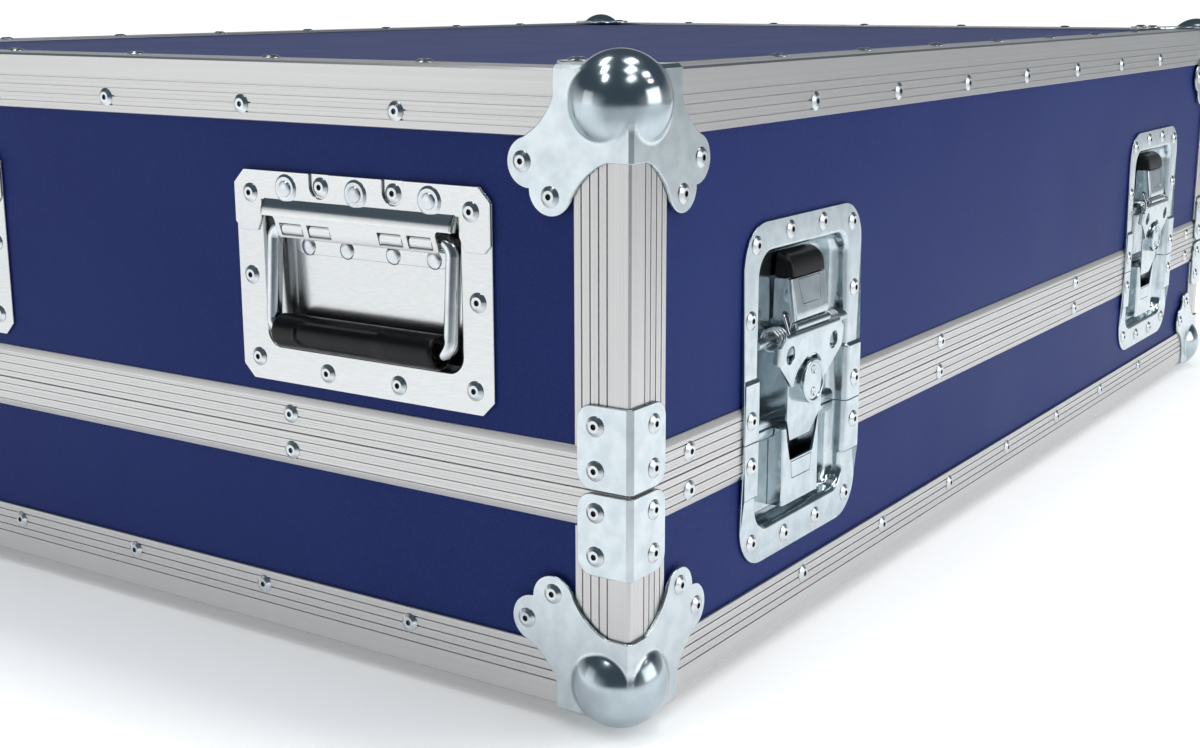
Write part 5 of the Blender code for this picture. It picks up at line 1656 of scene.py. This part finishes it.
def latchHook():
    look = hookLook
    shell = Shell()
    fold, edge, wideTop = look["fold"], look["edge"], look["halfTop"]
    flat = look["halfWidth"] - fold
    run = fold * pi / 2
    reach = flat + run + look["return"] - fold

    def front(v):
        return look["front"] - look["slope"] * (v + look["topDrop"])

    shoulder = -look["shoulder"]
    heel = shoulder - look["side"]
    slope = (look["tipDrop"] + heel) / (look["halfWidth"] - look["halfTip"])
    inner = look["halfTip"] - look["tipWidth"]
    radius, high, drop = look["disc"]
    arch, steps = look["arch"], look["archSteps"]
    start = acos(min(inner / arch, 1.0))
    right = [(wideTop, -look["topDrop"]), (flat, shoulder + 0.7), (reach, shoulder - 0.4),
             (reach, heel + 0.4), (flat, heel - fold * slope),
             (look["halfTip"], -look["tipDrop"]), (inner + 0.4, -look["tipDrop"] - 0.6)]
    curve = [(arch * cos(a), arch * sin(a) - drop)
             for a in [start + (pi - 2 * start) * k / steps for k in range(steps + 1)]]
    outline = roundCorners(right + curve + [(-u, v) for u, v in reversed(right)],
                           [*look["bends"], *[0] * (steps + 1), *reversed(look["bends"])], 4)
    u, v, hole = look["hole"]
    chains = foldLines(flat, run, 4, shoulder - 0.2, heel + 0.2)
    chains += [[(-wideTop + 1, v), (wideTop - 1, v)] for v in look["curlRows"]]
    pressSheet(shell, outline, [ring((side * u, v), hole, 28) for side in (-1, 1)],
               look["sheet"], edge,
               foldedPlate(look["halfWidth"], fold, front, curlFrom(*look["curl"])),
               chains=chains)
    reach, thick = look["rod"]
    wire(shell, [(-reach, 0, 0), (reach, 0, 0)], thick, 20)
    # bridge between the front plate and the tongue plate
    face = look["tongueBack"]
    reach, top, low = look["bridge"]
    skin(shell, [[(x, y, z) for y, z in ((front(top) + 0.8, top), (face + 0.8, top),
                                         (face + 0.8, low), (front(low) + 0.8, low))]
                 for x in (-reach, reach)])
    (wide, top), (_, bend), (tip, end) = look["tongue"]
    blank = roundCorners(mirrored([(wide, top), (wide, bend), (tip, end)]),
                         [1.0, 2.0, 1.0, 1.0, 2.0, 1.0], 5)

    def sag(u, v):
        return face + look["tongueDip"] * (max(bend - v, 0.0) / (bend - end)) ** 1.2

    pressSheet(shell, blank, [], look["sheet"], edge, onWall, rise=sag,
               chains=[[(aside - wide, bend - down), (wide - aside, bend - down)]
                       for aside, down in look["tongueRows"]])
    base = face + 0.3
    top = base - high
    level = top + look["discFace"]
    rim = [(0.0, base), (radius, base)]
    rim += [(radius - inset, top + rise) for inset, rise in look["discRim"]] + [(0.0, level)]
    turned(shell, rim, lambda a, b, h: (a, h, b - drop), 48)
    wall = look["dimple"]
    bump = [(0.0, level + 0.3), (wall, level + 0.3), (wall - 0.15, level - 0.25),
            (wall - 0.6, level - 0.45), (wall - 1.0, level - 0.3), (0.6, level + 0.05),
            (0.0, level + 0.1)]
    for place in (-look["dimples"], look["dimples"]):
        turned(shell, bump, lambda a, b, h: (a, h, place - drop + b), 24)
    return shell


def addLatches():
    look = latchLook
    rise, depth = look["axle"][:2]
    axle = Matrix.Translation((0, depth, rise))
    above, ahead = look["pin"]
    pin = axle @ Matrix.Translation((0, ahead, above))
    parts = (("UpperPan", latchPan(True), "panZinc", "lid", Matrix(), "upper_pan"),
             ("LowerPan", latchPan(False), "panZinc", "base", Matrix(), "lower_pan"),
             ("Keeper", keeper(), "panZinc", "base", Matrix(), None),
             ("Lever", lever(), "panZinc", "lever", axle, "lever"),
             ("Tip", leverTip(), "plastic", "lever", axle, "tip"),
             ("Spring", latchSpring(), "bright", "lever", axle, "spring"),
             ("Hook", latchHook(), "panZinc", "hook", pin, "hook"))
    for name, along, side in (("front_left", -1, -1), ("front_right", 1, -1),
                              ("back_left", -1, 1), ("back_right", 1, 1)):
        seat = (Matrix.Translation((along * look["spacing"] / 2, side * halfY,
                                    caseSize["parting"]))
                @ Matrix.Rotation(0.0 if side < 0 else pi, 4, "Z"))
        for part, shell, kind, body, place, node in parts:
            rides = body if body in ("lid", "base") else f"{body}_{name}"
            piece = makePiece(f"latch{part}{titled(name)}", shell, [kind], rides,
                              seat @ place, crease=38)
            if node:
                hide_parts(f"latch_{node}_{name}")
        out = seat.to_3x3() @ Vector((0, -1, 0))
        for x, z in look["rivets"]:
            for sign in (-1, 1):
                setRivet("lid" if z > 0 else "base", "blind",
                         seat @ Vector((sign * x, latchFront(z), z)), out)
        for x, z in look["domes"]:
            setRivet("lid" if z > 0 else "base", "dome", seat @ Vector((x, look["floor"], z)),
                     out)


for half in ("base", "lid"):
    edges = addEdges(half)
    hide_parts(f"{half}_edge_frame")
    rim = addRims(half)
    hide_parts(f"{half}_rim")
    addBraces(half)
addCorners()
addHandles()
addLatches()
print("metal and plastic pieces made")


# Rivets

blindHead = [(0.0, 0.55), (1.3, 0.55), (1.33, 1.35), (1.45, 1.45), (2.85, 1.5), (3.05, 1.42),
             (4.4, 0.52), (4.62, 0.42), (4.85, 0.25), (4.9, -0.1), (0.0, -0.1)]
blindCore = [(0.0, 0.7), (1.2, 0.7), (1.24, 1.42), (1.42, 1.5), (1.42, 0.45), (0.0, 0.45)]
rivetShapes = {
    # head, core, finish of the core, points round the head
    "blind": (blindHead, blindCore, "core", 28),
    "flush": (blindHead, blindCore, "mandrel", 28),
    "large": ([(0.0, 1.95), (1.6, 1.88), (3.0, 1.66), (3.75, 1.42), (4.0, 1.15), (4.1, 0.75),
               (4.4, 0.72), (5.3, 0.85), (5.9, 0.8), (6.5, 0.45), (7.2, 0.1), (7.25, -0.1),
               (0.0, -0.1)], None, "core", 36),
    "dome": ([(0.0, 1.35), (1.6, 1.29), (2.9, 1.1), (3.8, 0.82), (4.3, 0.5), (4.6, 0.1),
              (4.65, -0.1), (0.0, -0.1)], None, "core", 28),
}
rivetLook = {"tilt": 0.02, "turn": 6.283, "seed": 11, "coreSteps": 16, "crease": 19}


def rivetShape(name, profile, steps):
    shell = Shell()
    turned(shell, profile, lambda x, y, h: (x, y, h), steps)
    mesh = makeMesh(name, shell, crease=rivetLook["crease"], weld=True)
    return bpy.data.objects.new(name, mesh)


def rivetTree():
    # a head and a core at each spot, turned to its facing with a slight random tilt
    tree = bpy.data.node_groups.new("setRivets", "GeometryNodeTree")
    face = tree.interface
    for label, kind in (("Spots", "Geometry"), ("Head", "Object"), ("Core", "Object"),
                        ("Head Finish", "Material"), ("Core Finish", "Material"),
                        ("Tilt", "Float"), ("Seed", "Int")):
        face.new_socket(label, in_out="INPUT", socket_type=f"NodeSocket{kind}")
    face.new_socket("Rivets", in_out="OUTPUT", socket_type="NodeSocketGeometry")
    given = addNode(tree, "NodeGroupInput").outputs
    facing = addNode(tree, "GeometryNodeInputNamedAttribute", {"Name": "facing"},
                     data_type="FLOAT_VECTOR")
    stand = addNode(tree, "FunctionNodeAlignRotationToVector",
                    {"Vector": facing.outputs[0]}, axis="Z")
    lean = maths(tree, "MULTIPLY", given["Tilt"], -1.0)
    least = addNode(tree, "ShaderNodeCombineXYZ", {0: lean, 1: lean, 2: 0.0})
    most = addNode(tree, "ShaderNodeCombineXYZ",
                   {0: given["Tilt"], 1: given["Tilt"], 2: rivetLook["turn"]})
    chance = addNode(tree, "FunctionNodeRandomValue", data_type="FLOAT_VECTOR")
    tree.links.new(least.outputs[0], chance.inputs[0])
    tree.links.new(most.outputs[0], chance.inputs[1])
    tree.links.new(given["Seed"], chance.inputs["Seed"])
    turn = addNode(tree, "FunctionNodeEulerToRotation", {0: chance.outputs[0]})
    pose = addNode(tree, "FunctionNodeRotateRotation",
                   {0: stand.outputs[0], 1: turn.outputs[0]}, rotation_space="LOCAL")
    joined = addNode(tree, "GeometryNodeJoinGeometry")
    for part in ("Head", "Core"):
        shape = addNode(tree, "GeometryNodeObjectInfo", {"Object": given[part]})
        placed = addNode(tree, "GeometryNodeInstanceOnPoints",
                         {"Points": given["Spots"], "Instance": shape.outputs["Geometry"],
                          "Rotation": pose.outputs[0]})
        whole = addNode(tree, "GeometryNodeRealizeInstances", {0: placed.outputs[0]})
        dressed = addNode(tree, "GeometryNodeSetMaterial",
                          {"Geometry": whole.outputs[0], "Material": given[part + " Finish"]})
        tree.links.new(dressed.outputs[0], joined.inputs[0])
    out = addNode(tree, "NodeGroupOutput")
    tree.links.new(joined.outputs[0], out.inputs[0])
    return tree


def addRivets():
    tree = rivetTree()
    sockets = {item.name: item.identifier for item in tree.interface.items_tree
               if item.item_type == "SOCKET" and item.in_out == "INPUT"}
    shapes = {}
    for kind, (head, core, _, steps) in rivetShapes.items():
        head = rivetShape(f"{kind}RivetHead", head, steps)
        core = core and rivetShape(f"{kind}RivetCore", core, rivetLook["coreSteps"])
        shapes[kind] = (head, core)
    for (body, kind), spots in sorted(rivetSpots.items()):
        carrier = bpy.data.meshes.new("rivetSpots")
        carrier.from_pydata([0.001 * spot for spot, _ in spots], [], [])
        marks = carrier.attributes.new("facing", "FLOAT_VECTOR", "POINT")
        marks.data.foreach_set("vector", [c for _, facing in spots for c in facing])
        holder = addObject("rivetHolder", carrier)
        setter = holder.modifiers.new("rivets", "NODES")
        setter.node_group = tree
        head, core = shapes[kind]
        setter[sockets["Head"]] = head
        setter[sockets["Core"]] = core
        setter[sockets["Head Finish"]] = finish["rivet"]
        setter[sockets["Core Finish"]] = finish[rivetShapes[kind][2]]
        setter[sockets["Tilt"]] = rivetLook["tilt"]
        setter[sockets["Seed"]] = rivetLook["seed"]
        graph = bpy.context.evaluated_depsgraph_get()
        plain = bpy.data.meshes.new_from_object(holder.evaluated_get(graph))
        bpy.data.objects.remove(holder)
        piece = addObject(f"{body}{kind.title()}Rivets", plain)
        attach(piece, body)
        print("rivets:", body, kind, len(spots), "faces", len(plain.polygons))


addRivets()


# Linings: trays of planks cut from closed-cell foam and glued along their edges

foamPlanks = {"inset": 13.5, "thickness": 40.0, "bend": 2.4, "steps": 4, "pitch": 45.0,
              "seam": 0.12, "mouth": 1.0,
              # unevenness of the sawn faces: its height, waves along x, y and z, and shifts
              "sway": 0.35, "waves": (0.031, 0.043, 0.027), "shifts": (0.8, 1.7)}


def plank(shell, low, high):
    look = foamPlanks
    bend, steps = look["bend"], look["steps"]
    perAxis, shift = look["shifts"]
    curve = [bend * (1 - cos(pi / 2 * k / steps)) for k in range(steps + 1)]
    lines = []
    for a, b in zip(low, high):
        count = max(1, round((b - a - 2 * bend) / look["pitch"]))
        between = [a + bend + (b - a - 2 * bend) * k / count for k in range(1, count)]
        lines.append([a + c for c in curve] + between + [b - c for c in reversed(curve)])
    inner = Vector(low) + Vector((bend, bend, bend))
    outer = Vector(high) - Vector((bend, bend, bend))
    for axis in range(3):
        one, two = (axis + 1) % 3, (axis + 2) % 3
        for side in (0, -1):
            points = []
            for u in lines[one]:
                for v in lines[two]:
                    spot = Vector((0, 0, 0))
                    spot[axis], spot[one], spot[two] = lines[axis][side], u, v
                    core = Vector([min(max(spot[k], inner[k]), outer[k]) for k in range(3)])
                    away = (spot - core).normalized() * bend
                    x, y, z = [wave * c for wave, c in zip(look["waves"], core)]
                    sway = (look["sway"] * sin(x + perAxis * axis)
                            * sin(y + z + shift))
                    away[axis] -= copysign(0.5 * abs(sway), away[axis])
                    points.append(tuple(core + away))
            wide = len(lines[two])
            faces = [(i * wide + k, i * wide + k + 1, (i + 1) * wide + k + 1, (i + 1) * wide + k)
                     for i in range(len(lines[one]) - 1) for k in range(wide - 1)]
            shell.add(points, faces)


def addLinings():
    look = foamPlanks
    inset, thick, seam = look["inset"], look["thickness"], look["seam"]
    x, y = halfX - inset, halfY - inset
    for half, closed, mouth in (
            ("base", caseSize["underside"] + inset, caseSize["parting"] - look["mouth"]),
            ("lid", caseSize["top"] - inset, caseSize["parting"] + look["mouth"])):
        shell = Shell()
        up = 1 if half == "base" else -1
        face = closed + up * thick
        plank(shell, (-x, -y, min(closed, face)), (x, y, max(closed, face)))
        low, high = sorted((face + up * seam, mouth))
        for side in (-1, 1):
            a, b = sorted((side * y, side * (y - thick)))
            plank(shell, (-x, a, low), (x, b, high))
            a, b = sorted((side * x, side * (x - thick)))
            plank(shell, (a, -y + thick + seam, low), (b, y - thick - seam, high))
        piece = makePiece(f"{half}Lining", shell, ["foam"], half, crease=60, weld=True)
        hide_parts(f"{half}_foam")


addLinings()
print("linings made")


# Studio: white sweep, dark room above it, softboxes overhead and at both sides

studio = {
    "floorSize": 400.0,
    "floor": ("#ffffff", "#fcfcfc", 900.0, 0.8),  # colours, patch size, roughness
    "shadow": (-0.05, 0.05, 0.0),  # the case's soft shadow leans this way
    "footprint": (0.483, 0.3335, 1.0),
    "sweep": (0.015, 0.15),  # metres from its edge where the shadow ends
    "rise": (1.2, 2.2),    # and where the floor turns fully white
    "near": 0.2, "middle": 0.66,
    "rightFade": (-0.68, -1.2, 0.3),  # y between which the floor dims, and to what share
    "far": 0.97,
    "cameraSide": (-0.83, -0.557), # the room is darker behind the camera
    "wallShade": (0.45, 0.85),  # cosines between which the white wall ends
    "corner": (-0.483, -0.333, 0.0),
    "floorShade": (0.4, 0.82, 1.0, (0.05, 0.45)),  # cosines, share and metres from that corner
    "room": "#4c5963",
    "horizon": 0.92, "rightSide": (0.557, -0.83),
    "rightShade": (0.2, 0.8, 0.5), # cosines between which the wall dims, and by what share
    "horizonTop": (0.02, 0.34),  # sine of the height where the white wall ends
}
softboxes = (
    # name, place, aim, width, height, power
    ("left", (-3.0, 2.2, 0.8), (-0.3, 0.0, 0.15), 1.6, 1.4, 4.0),
    ("right", (0.9, -3.6, 1.0), (0.0, -0.2, 0.15), 2.4, 1.6, 26.0),
)
overhead = {
    "height": 2.6, "size": (0.85, 0.5), "power": 9.0,
    "spots": ((-0.24, 0.95), (-1.25, 0.57), (-2.3, 0.26), (0.41, -0.48), (-0.44, -1.16),
              (-1.18, -2.0), (0.71, -2.13), (1.09, -3.18)),
}


def addSoftbox(name, spot, aim, width, height, power):
    lamp = bpy.data.lights.new(name, "AREA")
    lamp.shape = "RECTANGLE"
    lamp.size = width
    lamp.size_y = height
    lamp.energy = power
    holder = addObject(name, lamp)
    holder.location = spot
    holder.rotation_euler = (Vector(aim) - Vector(spot)).to_track_quat("-Z", "Y").to_euler()


def facingShade(tree, place, side, low, high, most=1.0, reach=None):
    # one everywhere except towards one side, where it falls by the given share
    flat = vectorMath(tree, "MULTIPLY", place, (1.0, 1.0, 0.0))
    unit = vectorMath(tree, "NORMALIZE", flat)
    facing = vectorMath(tree, "DOT_PRODUCT", unit, (*side, 0.0))
    dark = spread(tree, facing, 0.0, most, low, high)
    if reach:
        away = vectorMath(tree, "LENGTH", flat)
        dark = product(tree, dark, spread(tree, away, 0.0, 1.0, *reach))
    return maths(tree, "SUBTRACT", 1.0, dark)


def addFloor():
    # Matt white studio paint, rolled on evenly. Its glow stands for light thrown back by the
    # room, and is weaker in the shadow near the case.
    look = studio
    bpy.ops.mesh.primitive_plane_add(size=look["floorSize"])
    floor = bpy.context.active_object
    floor.name = "studioFloor"
    material, tree, shader, place = newFinish("paleFloor")
    colour, patch, size, dull = look["floor"]
    addColour(tree, shader, noise(tree, place, size), colour, patch)
    shader.inputs["Roughness"].default_value = dull
    moved = vectorMath(tree, "SUBTRACT", place, look["shadow"])
    quadrant = vectorMath(tree, "ABSOLUTE", moved)
    beyond = vectorMath(tree, "SUBTRACT", quadrant, look["footprint"])
    outside = vectorMath(tree, "MAXIMUM", beyond, (0.0, 0.0, 0.0))
    away = vectorMath(tree, "LENGTH", outside)
    glow = spread(tree, away, look["near"], look["middle"], *look["sweep"])
    rise = spread(tree, away, 0.0, look["far"] - look["middle"], *look["rise"])
    glow = maths(tree, "ADD", glow, rise)
    fromCorner = vectorMath(tree, "SUBTRACT", place, look["corner"])
    shade = facingShade(tree, fromCorner, look["cameraSide"], *look["floorShade"])
    aside = addNode(tree, "ShaderNodeSeparateXYZ", {0: place}).outputs[1]
    start, end, least = look["rightFade"]
    dimmed = spread(tree, aside, least, 1.0, end, start)
    tree.links.new(product(tree, product(tree, glow, shade), dimmed),
                   shader.inputs["Emission Strength"])
    shader.inputs["Emission Color"].default_value = (1.0, 1.0, 1.0, 1.0)
    floor.data.materials.append(material)


def addRoom():
    look = studio
    world = bpy.data.worlds.new("studioWorld")
    bpy.context.scene.world = world
    world.use_nodes = True
    tree = world.node_tree
    place = addNode(tree, "ShaderNodeTexCoord").outputs["Generated"]
    rise = addNode(tree, "ShaderNodeSeparateXYZ", {0: place}).outputs[2]
    wall = spread(tree, rise, 1.0, 0.0, *look["horizonTop"])
    shade = facingShade(tree, place, look["cameraSide"], *look["wallShade"])
    dimmed = facingShade(tree, place, look["rightSide"], *look["rightShade"])
    lit = product(tree, product(tree, wall, shade), dimmed)
    colour = blendOf(tree, lit, look["room"], (look["horizon"],) * 3 + (1.0,))
    tree.links.new(colour, tree.nodes["Background"].inputs["Color"])


def addLamps():
    for box in softboxes:
        addSoftbox(*box)
    width, depth = overhead["size"]
    for k, (x, y) in enumerate(overhead["spots"]):
        addSoftbox(f"overhead{k}", (x, y, overhead["height"]), (x, y, 0.0), width, depth,
                   overhead["power"])


photoCamera = {"place": (-1.0827, -0.7199, 0.3390), "yaw": 33.859, "pitch": -12.928,
               "roll": -0.083, "lens": 49.9, "sensor": 36.0, "far": 100.0}


def addCamera():
    look = photoCamera
    lens = bpy.data.cameras.new("photoCamera")
    lens.lens = look["lens"]
    lens.sensor_width = look["sensor"]
    lens.clip_end = look["far"]
    camera = addObject("photoCamera", lens)
    yaw, pitch, roll = [radians(look[name]) for name in ("yaw", "pitch", "roll")]
    ahead = Vector((cos(yaw) * cos(pitch), sin(yaw) * cos(pitch),
                    sin(pitch)))
    turn = ahead.to_track_quat("-Z", "Y").to_matrix().to_4x4()
    camera.matrix_world = (Matrix.Translation(look["place"]) @ turn
                           @ Matrix.Rotation(roll, 4, "Z"))
    bpy.context.scene.camera = camera


addFloor()
addRoom()
addLamps()
bpy.context.scene.view_settings.view_transform = "Standard"
addCamera()
print("studio and camera set")
